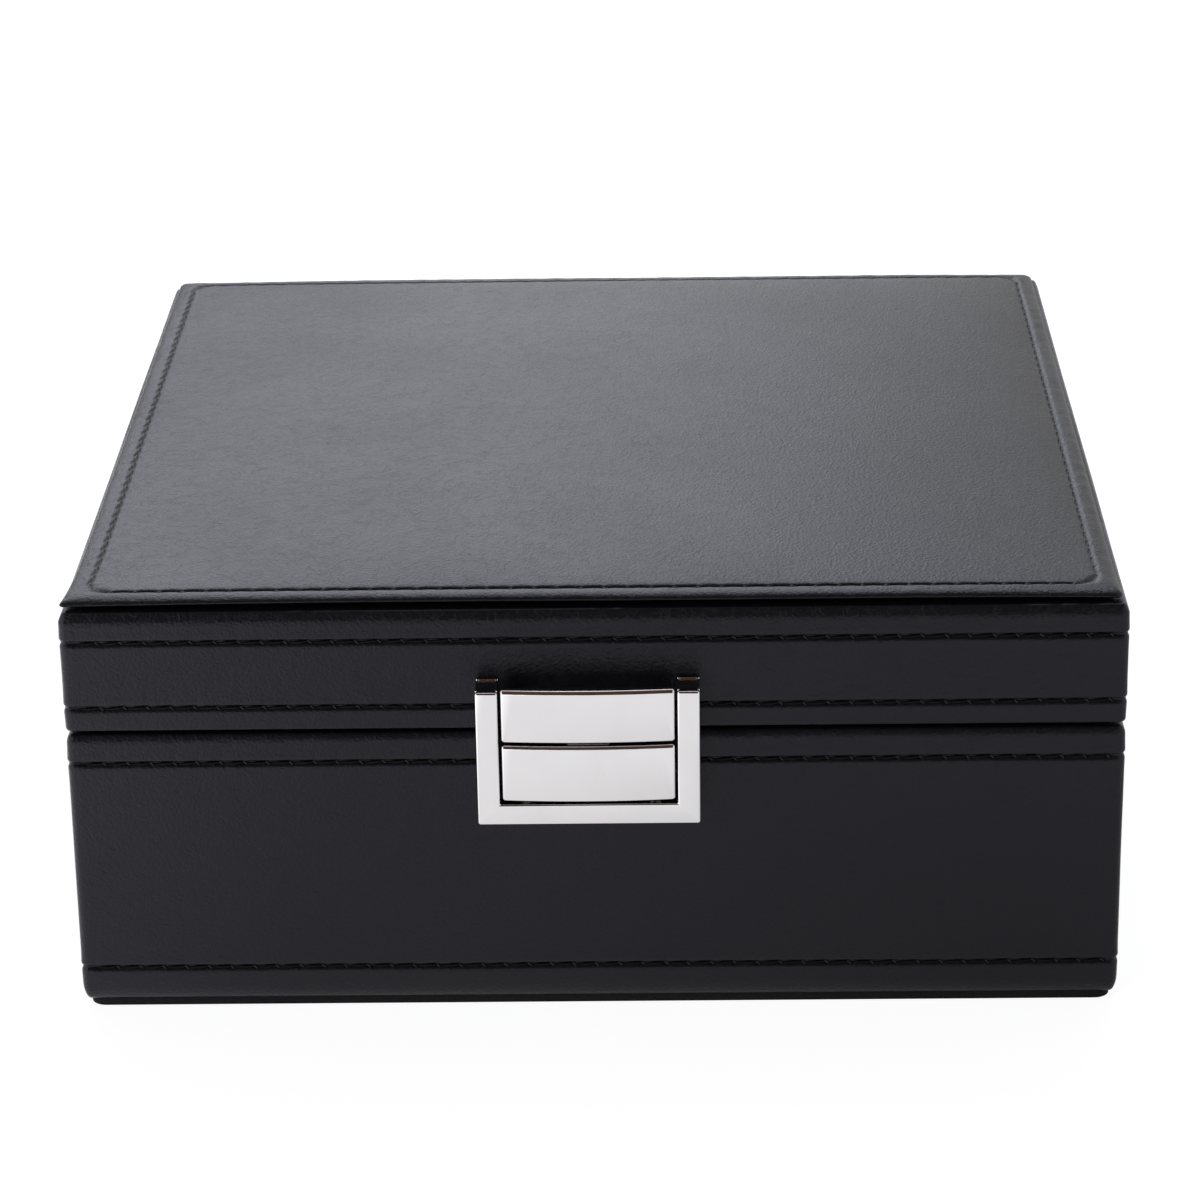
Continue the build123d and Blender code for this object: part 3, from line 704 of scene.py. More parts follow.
BASE_FOOT = rolled(3.4 * MM, 1.3 * MM)
BASE_RIM = rolled(1.9 * MM, 1.25 * MM)
LID_RIM = rolled(0.7 * MM, 0.6 * MM)
LID_SHOULDER = tuple(
    (height * MM, inset * MM)
    for height, inset in ((2.65, 0.0), (2.2, 0.16), (1.8, 0.33), (1.4, 0.50), (1.05, 0.68), (0.82, 0.92), (0.9, 1.9))
)


@dataclass
class LeatherBand:
    """A leather cover round the four walls, with shaped edges and sewn lines."""

    name: str
    node: str
    body: Body
    lower_edge: Profile
    upper_edge: Profile
    stitch_levels: tuple[float, ...]
    hollow: float = 0.0
    pocket: tuple[Span, Span] | None = None
    plain_end: float = 3.0 * MM
    corner_radius: float = 1.5 * MM
    edge_bevel: float = 1.2 * MM
    turn_in: float = 7.0 * MM
    thickness: float = 0.3 * MM
    sewn_rows: tuple[float, ...] = (0.16, 0.34, 0.48, 0.64, 0.95, 1.6)
    sewn_room: float = 3.0 * MM
    plain_rows: int = 8
    row_margin: float = 1.0 * MM
    stitches: int = 44
    hole_width: float = 0.10
    groove_depth: float = 0.70 * MM
    groove_width: float = 0.52 * MM
    groove_middle: float = 0.3
    upper_wall: tuple[float, int] = (0.62, 4)
    lower_wall: tuple[float, int] = (1.15, 3)
    groove_end: float = 2.0 * MM
    groove_end_share: float = 0.3
    upper_lip: float = 0.09 * MM
    lower_lip: float = 0.04 * MM
    lip_place: float = 2.2
    lip_width: float = 1.1
    lip_gap: float = 0.7
    wave_height: float = 0.09 * MM
    wave_scale: tuple[float, float, float] = (22.0, 45.0, 90.0)
    wrinkle_height: float = 0.07 * MM
    wrinkle_scale: Span = (330.0, 150.0)
    wrinkle_reach: float = 2.2 * MM
    crest: float = 0.14 * MM
    wander: float = 0.14 * MM
    wander_scale: Span = (34.0, 210.0)
    slant: float = math.tan(math.radians(1.2))
    thread_sink: float = 0.42 * MM
    thread_drop: float = 0.18 * MM

    def __post_init__(self) -> None:
        """Takes the outer size from the node."""
        self.low, self.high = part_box(self.node)
        self.half = self.high.x
        self.straight = 2 * (self.half - self.plain_end)
        self.pitch = self.straight / self.stitches

    def build(self) -> None:
        """Models the leather and its thread."""
        cover = Piece.box(self.name, self.low, self.high)
        cover.bevel(runs_along(Z), self.corner_radius, EDGE_STEPS)
        share = (self.half - self.turn_in) / (self.half - self.edge_bevel)
        for level in (self.low.z, self.high.z):
            cover.bevel(sharp_at(level), self.edge_bevel, EDGE_STEPS)
            with cover.picked("FACE", lies_at(level)):
                cover.draw_out(0.0, (share, share, 1.0))
                bpy.ops.mesh.delete(type="FACE")
        cover.slice(Z, *self.rows())
        cover.divide(longer_than(self.half), 3)
        cover.divide(longer_than(self.half / 3), self.stitches - 1)
        if self.pocket:
            across, levels = self.pocket
            with cover.slice(X, *across).slice(Z, *levels).picked("FACE", self.in_pocket):
                bpy.ops.mesh.delete(type="FACE")
        cover.push(self.press).thicken(self.thickness, -1.0).smooth(CLOTH_EDGE)
        cover.fit(BLACK_LEATHER, self.body, self.node)
        places = self.thread_places()
        STITCH.lay(f"{self.body.value}_thread", places).fit(BLACK_THREAD, self.body)
        # The thread ends wear the lighter copy of the thread colour, a painted glint.
        STITCH_END.lay(f"{self.body.value}_thread_ends", places).fit(PAINTED_GLINT_THREAD_END, self.body)

    def rows(self) -> list[float]:
        """Gives the levels to cut the wall at: close together at the sewn lines."""
        near = [sign * offset * MM for offset in self.sewn_rows for sign in (-1, 1)]
        bottom = self.low.z + self.lower_edge[0][0] + self.row_margin
        top = self.high.z - self.upper_edge[0][0] - self.row_margin
        plain = [bottom + (top - bottom) * step / self.plain_rows for step in range(self.plain_rows + 1)]
        free = [level for level in plain if all(abs(level - line) > self.sewn_room for line in self.stitch_levels)]
        return sorted([line + offset for line in self.stitch_levels for offset in near] + free)

    def in_pocket(self, face: Face) -> bool:
        """Says whether a face lies in the opening of the front wall behind the clasp."""
        (left, right), (bottom, top) = self.pocket
        place = face.calc_center_median()
        front = place.y < -self.half + self.thickness
        return front and left < place.x < right and bottom < place.z < top

    def line_level(self, line: float, run: float) -> float:
        """Gives the level of a sewn line, which wanders a little along the wall."""
        along, up = self.wander_scale
        return line + self.wander * swell(run * along, line * up, self.half)

    def sink(self, level: float, run: float) -> float:
        """Gives how far the leather lies below the flat wall: its waves, wrinkled edges and sewn grooves."""
        along, up, apart = self.wave_scale
        depth = self.wave_height * swell(run * along, level * up, self.half + self.low.z * apart)
        edge = min(self.high.z - level, level - self.low.z) / self.wrinkle_reach
        along, up = self.wrinkle_scale
        depth += self.wrinkle_height * bell(edge) * (1 + swell(run * along, level * up, 5.3))
        slant = self.slant * along_stitch(run, self.pitch) * self.pitch
        inside = min(run, self.straight - run) / self.groove_end
        fade = min(max(1 + (1 - self.groove_end_share) * inside, self.groove_end_share), 1.0)
        gap = 1 - self.lip_gap * at_hole(run, self.pitch, self.hole_width)
        for line in self.stitch_levels:
            off = (level - self.line_level(line, run) - slant) / self.groove_width
            width, power = self.upper_wall if off > self.groove_middle else self.lower_wall
            wall = (abs(off - self.groove_middle) / width) ** power
            lip = (self.upper_lip if off > 0 else self.lower_lip) * bell((abs(off) - self.lip_place) / self.lip_width)
            depth += self.groove_depth * fade * math.exp(-wall) - lip * gap
        return max(depth, -self.crest)

    def press(self, place: Vector) -> Vector:
        """Moves a point to the profile of its edge and in by the depth of the leather's relief."""
        side = max(Side, key=lambda each: place.dot(each.outward))
        if place.dot(side.outward) < self.half - self.turn_in / 2:
            return place - Vector((0, 0, self.hollow if place.z > self.low.z + self.edge_bevel else 0))
        run = place.dot(side.along) + self.straight / 2
        drawn = gathered(run, self.pitch) if 0 < run < self.straight else run
        level, fill, share = self.edge_place(place.z)
        out = fill - self.sink(level, drawn) * share
        return place + side.along * (drawn - run) + self.outward(place) * out + Vector((0, 0, level - place.z))

    def outward(self, place: Vector) -> Vector:
        """Gives the direction out of the wall at a point, which turns round the corners."""
        flat = self.half - self.corner_radius
        over = [math.copysign(max(abs(part) - flat, 0.0), part) for part in (place.x, place.y)]
        return Vector((*over, 0)).normalized()

    def edge_place(self, level: float) -> tuple[float, float, float]:
        """Gives where a level of the bevelled box belongs.

        Args:
            level: level on the bevelled box.

        Returns:
            The level on the cover, how far the point moves out, and the share of the relief it takes.
        """
        for end, sign, profile in ((self.low.z, 1, self.lower_edge), (self.high.z, -1, self.upper_edge)):
            rise = 1 - sign * (level - end) / self.edge_bevel
            if rise > -NEAR / self.edge_bevel:
                turn = math.asin(min(max(rise, 0.0), 1.0))
                height, inset = profile[round(turn / (math.pi / 2) * EDGE_STEPS)]
                return end + sign * height, self.edge_bevel * (1 - math.cos(turn)) - inset, math.cos(turn)
        return level, 0.0, 1.0

    def thread_places(self) -> list[Stitch]:
        """Gives the place and directions of every stitch."""
        places = []
        for line in self.stitch_levels:
            for side in Side:
                for index in range(self.stitches):
                    run = (index + 0.5) * self.pitch
                    middle = side.outward * (self.half - self.thread_sink) + side.along * (run - self.straight / 2)
                    middle.z = self.line_level(line, run) - self.thread_drop
                    places.append((middle, side.along, side.outward))
        return places


@dataclass
class PaddedTop:
    """The padded leather panel on the lid: rolled border, sewn line and crowned middle."""

    name: str = "padded_top"
    node: str = "lid_pad_cover"
    leather: float = 0.25 * MM
    lip_height: float = 0.62 * MM
    lip_wave: float = 0.30 * MM
    lip_wave_scale: float = 14.0
    lip_rings: Profile = ((0.46, 0.03), (0.33, 0.13), (0.22, 0.35), (0.14, 0.8), (0.08, 1.5), (0.02, 2.5))
    roll_middle: float = 1.6 * MM
    roll_width: float = 1.3 * MM
    roll_crest: float = 2.9 * MM
    roll_height: float = 1.62 * MM
    stitch_inset: float = 3.9 * MM
    stitches: int = 43
    stitch_lines: int = 6
    thread_sink: float = 0.08 * MM
    crease_height: float = 0.9 * MM
    crease_power: float = 2.5
    crease_width: float = 0.4 * MM
    hole_rise: float = 0.65 * MM
    hole_width: float = 0.13
    scallop: float = 0.18 * MM
    scallop_width: float = 0.22
    scallop_reach: float = 1.2 * MM
    pad_height: float = 1.6 * MM
    pad_edge: float = 0.20 * MM
    crown_height: float = 4.15 * MM
    crown_power: float = 0.6
    wave_height: float = 0.16 * MM
    wave_scale: float = 24.0
    wave_start: float = 18.0 * MM
    wrinkle_height: float = 0.10 * MM
    wrinkle_scale: Span = (320.0, 90.0)
    uneven_scale: float = 45.0
    mitre: float = 0.9 * MM
    mitre_growth: float = 0.35
    mitre_start: float = 3.0 * MM
    corner_droop: float = 0.30 * MM
    droop_reach: float = 20.0 * MM
    front_corners: Span = (0.7 * MM, 1.2 * MM)
    back_corners: Span = (1.4 * MM, 2.0 * MM)
    front_flares: Span = (1.6 * MM, 0.6 * MM)
    flare_reach: float = 10.0 * MM
    foam_node: str = "lid_pad_foam"
    foam_lines: int = 41
    line_gap: float = 0.5 * MM
    border_lines: tuple[float, ...] = (
        0, 0.06, 0.2, 0.45, 0.8, 1.25, 1.8, 2.4, 2.9, 3.25, 3.5,
        3.65, 3.78, 3.9, 3.98, 4.07, 4.17, 4.3, 4.5, 4.85, 5.4, 6.2,
    )

    def __post_init__(self) -> None:
        """Takes the outer size from the node and lays out the grid lines."""
        self.low, self.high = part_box(self.node)
        self.half = self.high.x
        self.reach = self.half - self.stitch_inset
        self.pitch = 2 * self.reach / self.stitches
        border = [line * MM for line in self.border_lines]
        runs = [step * self.pitch / self.stitch_lines for step in range(self.stitch_lines * self.stitches)]
        inner = [self.stitch_inset + gathered(run, self.pitch) for run in runs]
        start, end = border[-1] + self.line_gap, 2 * self.half - border[-1] - 2 * self.line_gap
        inner = [line for line in inner if start < line < end]
        self.lines = [*border, *inner, *(2 * self.half - line for line in reversed(border))]

    def build(self) -> None:
        """Models the panel, its thread and its foam."""
        panel = Piece.grid(self.name, len(self.lines), 2 * self.half).push(self.shape)
        with panel.picked("EDGE", lambda edge: edge.is_boundary):
            level, inset = self.lip_height, 0.0
            for height, depth in self.lip_rings:
                share = (self.half - depth * MM) / (self.half - inset)
                panel.draw_out(height * MM - level, (share, share, 1.0))
                level, inset = height * MM, depth * MM
            bpy.ops.mesh.edge_face_add()
        panel.outside().smooth(SOFT_EDGE).fit(BLACK_LEATHER, Body.LID, self.node)
        PAD_STITCH.lay("padded_top_thread", self.thread_places()).fit(BLACK_THREAD, Body.LID)
        foam = self.foam().fit(FOAM, Body.LID, self.foam_node)

    def shape(self, place: Vector) -> Vector:
        """Moves a point of the flat grid to its place on the panel."""
        last = len(self.lines) - 1
        spot = [self.lines[round((part / (2 * self.half) + 0.5) * last)] for part in (place.x, place.y)]
        along = [part - self.half for part in spot]
        right, back = (part > 0 for part in along)
        near = [min(part, 2 * self.half - part) for part in spot]
        inset = min(near)
        near = self.cornered(near, (self.back_corners if back else self.front_corners)[right])
        soft = self.mitre + self.mitre_growth * sum(near)
        mix = max(soft - abs(near[0] - near[1]), 0) / soft
        inner = min(inset, *near) - mix * mix * soft / 4 * min(1.0, inset / self.mitre_start)
        run = along[0] if near[1] < near[0] else along[1]
        level = self.sewn(max(inner, 0.0), run + self.reach) + self.crown(*along)
        wave = swell(*(part * self.wave_scale for part in along), 0.7)
        level += self.wave_height * min(1.0, inset / self.wave_start) * wave
        flat = [self.half - part for part in near]
        if not back:
            flat[0] += self.front_flares[right] * math.exp(-sum(near) / self.flare_reach)
        return Vector((flat[0] if right else -flat[0], flat[1] if back else -flat[1], self.low.z + level))

    @staticmethod
    def cornered(near: list[float], radius: float) -> list[float]:
        """Moves a point near a corner, given by its distances from the two edges, onto rings round the corner."""
        inset = min(near)
        if max(near) >= radius or inset >= radius:
            return near
        share = (max(near) - inset) / (radius - inset)
        angle = math.pi / 4 * (1 - share)
        bend = [math.cos(angle), math.sin(angle)]
        if near[0] > near[1]:
            bend.reverse()
        return [radius - (radius - inset) * part for part in bend]

    def sewn(self, inset: float, run: float) -> float:
        """Gives the height near the outline, with the leather gathered at the needle holes."""
        off = inset - self.stitch_inset
        shift = 1 - 2 * at_hole(run, self.pitch, self.scallop_width)
        shift *= self.scallop * bell(off / self.scallop_reach)
        rise = self.hole_rise * at_hole(run, self.pitch, self.hole_width) * bell(off / self.crease_width)
        filled = self.crease_height + rise if inset > self.roll_crest else 0.0
        level = max(self.height(max(inset - shift, 0.0)), filled)
        fine, across = self.wrinkle_scale
        uneven = swell(run * fine, inset * across, 3.1) + swell(run * self.uneven_scale, 0.2, 8.4)
        level += self.wrinkle_height * uneven * bell((inset - self.roll_middle) / self.roll_width)
        droop = sum(math.exp(-away / self.droop_reach) for away in (run, 2 * self.reach - run))
        outer = max(0.0, 1 - inset / self.stitch_inset)
        return level + outer * (self.lip_wave * swell(run * self.lip_wave_scale, 2.6, 4.4) - self.corner_droop * droop)

    def height(self, inset: float) -> float:
        """Gives the height of the roll, the sewn crease and the pad's edge at a distance from the outline."""
        if inset < self.roll_crest:
            reach = math.sqrt(max(0.0, 1 - (1 - inset / self.roll_crest) ** 2))
            return self.lip_height + (self.roll_height - self.lip_height) * reach
        if inset < self.stitch_inset:
            share = (inset - self.roll_crest) / (self.stitch_inset - self.roll_crest)
            return self.roll_height - (self.roll_height - self.crease_height) * share**self.crease_power
        rise = 1 - math.exp(-(inset - self.stitch_inset) / self.pad_edge)
        return self.crease_height + (self.pad_height - self.crease_height) * rise

    def crown(self, across: float, deep: float) -> float:
        """Gives how far the pad's middle stands above its edge at a point."""
        hollow = [max(0.0, 1 - (part / self.reach) ** 2) for part in (across, deep)]
        return (self.crown_height - self.pad_height) * (hollow[0] * hollow[1]) ** self.crown_power

    def foam(self) -> Piece:
        """Models the foam that crowns the panel, one leather's thickness below it."""
        low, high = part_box(self.foam_node)
        edge = self.low.z + self.pad_height

        def under_leather(place: Vector) -> Vector:
            """Lifts a point to the underside of the leather."""
            return Vector((place.x, place.y, edge + self.crown(place.x, place.y) - self.leather))

        foam = Piece.grid("pad_foam", self.foam_lines, 2 * high.x).push(under_leather)
        with foam.picked("EDGE", lambda edge: edge.is_boundary):
            foam.draw_out(low.z - high.z, (1.0, 1.0, 0.0), (0, 0, low.z))
            bpy.ops.mesh.edge_face_add()
        return foam.outside().smooth()

    def thread_places(self) -> list[Stitch]:
        """Gives the place and directions of every stitch."""
        reach = self.reach - self.scallop
        up = Vector((0, 0, 1))
        level = up * (self.low.z + self.crease_height - self.thread_sink)
        return [
            (side.outward * reach + side.along * ((index + 0.5) * self.pitch - self.reach) + level, side.along, up)
            for side in Side
            for index in range(self.stitches)
        ]


# Clasp


@dataclass
class Clasp:
    """The press clasp: a U frame on the base, a button in it and a strike on the lid."""

    middle: float = -1.1 * MM
    edge_radius: float = 0.4 * MM
    lump_radius: float = 0.2 * MM
    leg: float = 4.2 * MM
    bar: float = 4.1 * MM
    frame_corner: float = 0.5 * MM
    lid_gap: float = 0.4 * MM
    rim: float = 0.28 * MM
    side_rim: float = 0.45 * MM
    rim_depth: float = 1.0 * MM
    plate_width: float = 32.5 * MM
    plate_thickness: float = 2.0 * MM
    plate_front: float = -106.6 * MM
    plate_corner: float = 0.6 * MM
    plate_top_radius: float = 0.8 * MM
    bow: float = 0.7 * MM
    bow_cuts: int = 28
    button_rise: float = 0.45 * MM
    lug_place: float = 1.05 * MM
    lug_half: float = 0.95 * MM
    lug_depths: Span = (0.8 * MM, 2.2 * MM)
    lug_half_height: float = 2.5 * MM
    pusher_place: float = 8.0 * MM
    pusher_half: float = 1.5 * MM
    pusher_levels: Span = (48.4 * MM, 50.4 * MM)
    strike_bottom: float = 58.5 * MM
    block_half: float = 12.0 * MM
    block_levels: Span = (59.5 * MM, 66.4 * MM)
    tongue_half: float = 4.0 * MM
    tongue_depths: Span = (-102.4 * MM, -101.2 * MM)
    tongue_top: float = 62.6 * MM
    hook_height: float = 1.5 * MM
    hook_depth: float = 0.7 * MM

    def __post_init__(self) -> None:
        """Finds the plane in the middle of the plates."""
        self.core = self.plate_front + self.plate_thickness / 2

    def build(self) -> None:
        """Models the three castings."""
        self.frame().fit(CHROME, Body.BASE, "clasp_frame")
        self.button().fit(CHROME, Body.BUTTON, "clasp_button")
        self.strike().fit(CHROME, Body.LID, "clasp_strike")

    def lump(self, name: str, middle: float, half: float, depths: Span, levels: Span) -> Piece:
        """Models a small cast block with soft edges, from its middle and half width, depths and levels."""
        low, high = zip((middle - half, middle + half), depths, levels, strict=True)
        return Piece.box(name, low, high).bevel(sharper_than(CAST_EDGE), self.lump_radius, 2)

    def frame(self) -> Piece:
        """Models the U frame: a bar with two legs drawn up from its ends, rimmed at their tops."""
        low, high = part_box("clasp_frame")
        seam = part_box("base_leather_wrap")[1].z
        top = low.z + self.bar
        back = high.y - self.lid_gap
        legs = (low.x + self.leg / 2, high.x - self.leg / 2)

        def carries_leg(face: Face) -> bool:
            """Says whether a leg stands on a face."""
            return lies_at(top)(face) and abs(face.calc_center_median().x - self.middle) > self.plate_width / 2

        def relieve(place: Vector) -> Vector:
            """Keeps the backs of the legs clear of the lid."""
            above = place.z > seam + NEAR and place.y > high.y - NEAR
            return place - Vector((0, self.lid_gap, 0)) if above else place

        def at_foot(edge: Edge) -> bool:
            """Says whether an edge is one of the two lower corners."""
            place = edge.verts[0].co
            outer = place.z < low.z + NEAR and min(place.x - low.x, high.x - place.x) < NEAR
            return outer and runs_along(Y)(edge)

        piece = Piece.box("clasp_u_frame", low, (high.x, high.y, top))
        piece.slice(X, low.x + self.leg, high.x - self.leg)
        piece.extrude(carries_leg, (0, 0, seam - top)).extrude(lies_at(seam), (0, 0, high.z - seam))
        piece.push(relieve).bevel(at_foot, self.frame_corner, 5).bevel(sharper_than(CAST_EDGE), self.edge_radius, 4)
        bottom = high.z - self.rim_depth
        depths, levels = (back - self.rim, back), (bottom, high.z + self.rim)
        rims = [self.lump("rim", leg, self.leg / 2, depths, levels) for leg in legs]
        depths, levels = (low.y + self.rim_depth, back), (bottom, high.z + self.rim / 2)
        half = self.side_rim / 2
        for leg in legs:
            for sign in (-1, 1):
                rims.append(self.lump("side_rim", leg + sign * (self.leg / 2 - half), half, depths, levels))
        return piece.join(*rims).smooth(CAST_EDGE)

    def plate(self, name: str, bottom: float, top: float) -> Piece:
        """Models a bowed plate with rounded lower corners and a soft rim."""
        half = self.plate_width / 2
        left, back = self.middle - half, self.plate_front + self.plate_thickness
        piece = Piece.box(name, (left, self.plate_front, bottom), (self.middle + half, back, top))

        def lower(edge: Edge) -> bool:
            """Says whether an edge is one of the two lower corners."""
            return edge.verts[0].co.z < bottom + NEAR and runs_along(Y)(edge)

        def bowed(place: Vector) -> Vector:
            """Moves a point forward by the plate's bow."""
            return place - Vector((0, self.bow * (1 - ((place.x - self.middle) / half) ** 2), 0))

        def upper(edge: Edge) -> bool:
            """Says whether an edge is on the front of the plate's top."""
            front = all(vert.co.y < self.plate_front + 10 * NEAR for vert in edge.verts)
            return front and lies_at(top)(edge) and sharper_than(SOFT_EDGE)(edge)

        piece.bevel(lower, self.plate_corner, 5)
        piece.slice(X, *(left + self.plate_width * step / self.bow_cuts for step in range(2, self.bow_cuts - 1)))
        piece.push(bowed).bevel(upper, self.plate_top_radius, 6)
        return piece.bevel(sharper_than(SOFT_EDGE), self.edge_radius, 4)

    def button(self) -> Piece:
        """Models the button: plate, guide lugs and the two pushers."""
        low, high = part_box("clasp_button")
        level = (low.z + high.z) / 2
        lug_depths = tuple(self.core + depth for depth in self.lug_depths)
        lug_levels = (level - self.lug_half_height, level + self.lug_half_height)
        extras = []
        for sign in (-1, 1):
            lug = self.middle + sign * (self.plate_width / 2 - self.lug_place)
            extras.append(self.lump("lug", lug, self.lug_half, lug_depths, lug_levels))
            push = self.middle + sign * self.pusher_place
            extras.append(self.lump("pusher", push, self.pusher_half, (self.core, high.y), self.pusher_levels))
        return self.plate("clasp_press_button", low.z, high.z + self.button_rise).join(*extras).smooth(CAST_EDGE)

    def strike(self) -> Piece:
        """Models the strike: plate, block behind it and the hooked tongue."""
        low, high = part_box("clasp_strike")
        block = self.lump("block", self.middle, self.block_half, (self.core, high.y), self.block_levels)
        front, back = self.tongue_depths
        left, right = self.middle - self.tongue_half, self.middle + self.tongue_half
        hook = low.z + self.hook_height

        def hooked(face: Face) -> bool:
            """Says whether the hook stands on a face."""
            return lies_at(back, Y)(face) and face.calc_center_median().z < hook

        tongue = Piece.box("tongue", (left, front, low.z), (right, back, self.tongue_top)).slice(Z, hook)
        tongue.extrude(hooked, (0, self.hook_depth, 0)).bevel(sharper_than(CAST_EDGE), self.lump_radius, 2)
        return self.plate("clasp_strike_plate", self.strike_bottom, high.z).join(block, tongue).smooth(CAST_EDGE)


# Velvet inside and mirror


PANEL_CUTS = 12
PANEL_RIPPLE = 0.12 * MM
PANEL_RIPPLE_SCALE = 60.0


def rounded_panel(node: str, radius: float, body: Body) -> None:
    """Models a velvet-wrapped card panel with a rounded, slightly uneven top edge.

    Args:
        node: the node whose room the panel fills.
        radius: radius of the top edges.
        body: the body it rides on.
    """
    low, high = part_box(node)
    size = high - low
    long = X if size.x > size.y else Y

    def settle(place: Vector) -> Vector:
        """Makes the top edge a little uneven."""
        ripple = PANEL_RIPPLE * noise.noise(place * PANEL_RIPPLE_SCALE)
        return place + Vector((0, 0, ripple if place.z > high.z - radius else 0))

    piece = Piece.box(f"{node}_velvet", low, high).bevel(sharp_at(high.z), min(radius, 0.45 * min(size)), 4)
    piece.slice(long, *(low[long] + size[long] * step / PANEL_CUTS for step in range(1, PANEL_CUTS)))
    piece.push(settle).smooth(CLOTH_EDGE).fit(GREY_VELVET, body, node)


@dataclass
class VelvetInside:
    """The velvet linings, ledges and dividers of the base and the lid."""

    lining: float = 1.0 * MM
    edge_radius: float = 0.4 * MM
    floor_radius: float = 0.5 * MM
    divider_radius: float = 1.2 * MM
    window: float = 75.0 * MM
    window_radius: float = 3.0 * MM
    surround_radius: float = 1.6 * MM

    def build(self) -> None:
        """Models every velvet piece of the base and the lid."""
        for body in (Body.BASE, Body.LID):
            self.ring(body)
        low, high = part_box("base_floor_lining")
        floor = Piece.box("base_velvet_floor", low, high).bevel(sharp_at(high.z), self.floor_radius)
        floor.smooth().fit(GREY_VELVET, Body.BASE, "base_floor_lining")
        for ledge in ("left", "right"):
            rounded_panel(f"tray_ledge_{ledge}", self.divider_radius, Body.BASE)
        for divider in ("long", "left", "right"):
            rounded_panel(f"lower_divider_{divider}", self.divider_radius, Body.BASE)
        self.surround()

    def ring(self, body: Body) -> None:
        """Models a lining that goes round the four walls."""
        node = f"{body.value}_lining"
        low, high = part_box(node)
        piece = Piece.box(f"{body.value}_velvet_lining", low, high).window(self.lining)
        piece.bevel(sharp_at(low.z, high.z), self.edge_radius).smooth().fit(GREY_VELVET, body, node)

    def surround(self) -> None:
        """Models the padded velvet frame round the mirror."""
        low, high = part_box("mirror_surround")
        border = high.x - self.window

        def at_window(edge: Edge) -> bool:
            """Says whether an edge is a corner of the window."""
            return runs_along(Z)(edge) and abs(edge.verts[0].co.x) < high.x - border / 2

        piece = Piece.box("mirror_velvet_frame", low, high).window(border).bevel(at_window, self.window_radius, 5)
        piece.bevel(sharp_at(low.z), self.surround_radius, 5).smooth().fit(GREY_VELVET, Body.LID, "mirror_surround")


@dataclass
class Tray:
    """The lift-out tray with its ring rolls and ribbon pulls."""

    floor_corner: float = 0.8 * MM
    floor_radius: float = 0.5 * MM
    wall_radius: float = 1.3 * MM
    divider_radius: float = 0.9 * MM
    roll_count: int = 7
    roll_sides: int = 36
    roll_cuts: int = 24
    roll_end: float = 1.8 * MM
    roll_lump: float = 0.16 * MM
    roll_lump_scale: float = 110.0
    roll_slack: float = 0.096 * MM
    ribbon: float = 0.5 * MM
    ribbon_turn: float = 1.15 * math.pi
    ribbon_steps: int = 18

    def build(self) -> None:
        """Models the tray piece by piece."""
        low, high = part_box("tray_floor")
        floor = Piece.box("tray_velvet_floor", low, high).bevel(runs_along(Z), self.floor_corner)
        floor.bevel(sharp_at(low.z), self.floor_radius).smooth().fit(GREY_VELVET, Body.TRAY, "tray_floor")
        for wall in WALLS:
            rounded_panel(f"tray_{wall}_wall", self.wall_radius, Body.TRAY)
        for name in ("back", "middle", "right", "rear"):
            rounded_panel(f"tray_divider_{name}", self.divider_radius, Body.TRAY)
        self.rolls()
        self.pull("left", -1)
        self.pull("right", 1)

    def rolls(self) -> None:
        """Models one ring roll and copies it."""
        low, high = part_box("ring_roll_1")
        length, radius = high.x - low.x, (high.y - low.y) / 2
        middle = Vector(((low.x + high.x) / 2, (low.y + high.y) / 2, high.z - radius))
        bpy.ops.mesh.primitive_cylinder_add(
            vertices=self.roll_sides, radius=radius, depth=length, location=middle, rotation=(0, math.pi / 2, 0)
        )
        roll = Piece.settled("ring_roll_velvet_1").bevel(sharp_at(low.x, high.x, axis=X), self.roll_end, 5)
        roll.slice(X, *(low.x + length * step / self.roll_cuts for step in range(1, self.roll_cuts)))
        roll.puff(lambda place: self.roll_lump * noise.noise(place * self.roll_lump_scale) - self.roll_slack)
        roll.push(lambda place: Vector((place.x, place.y, max(place.z, low.z)))).smooth(SOFT_EDGE)
        pieces = [roll]
        for number in range(2, self.roll_count + 1):
            pieces.append(roll.copy(f"ring_roll_velvet_{number}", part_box(f"ring_roll_{number}")[0] - low))
        for number, piece in enumerate(pieces, start=1):
            piece.fit(ROLL_VELVET, Body.TRAY, f"ring_roll_{number}")

    def pull(self, name: str, sign: int) -> None:
        """Models a ribbon loop glued to a side wall."""
        node = f"tray_pull_{name}"
        low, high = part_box(node)
        outer = (high.x - low.x) / 2
        radius = outer - self.ribbon / 2
        middle = Vector(((low.x + high.x) / 2, 0, high.z - outer))
        start = (middle.x + sign * radius, 0, (low.z + middle.z) / 2)
        bpy.ops.mesh.primitive_plane_add(size=1.0, location=start, rotation=(0, math.pi / 2, 0))
        bpy.context.active_object.scale = (middle.z - low.z, high.y - low.y, 1.0)
        strip = Piece.settled(f"{node}_ribbon")
        with strip.picked("EDGE", lies_at(middle.z)):
            angle = sign * self.ribbon_turn
            bpy.ops.mesh.spin(steps=self.ribbon_steps, angle=angle, center=middle, axis=(0, -1, 0))
        strip.outside().thicken(self.ribbon, 0.0).smooth(CLOTH_EDGE).fit(BLACK_RIBBON, Body.TRAY, node)


# Pieces that keep the shape of their node

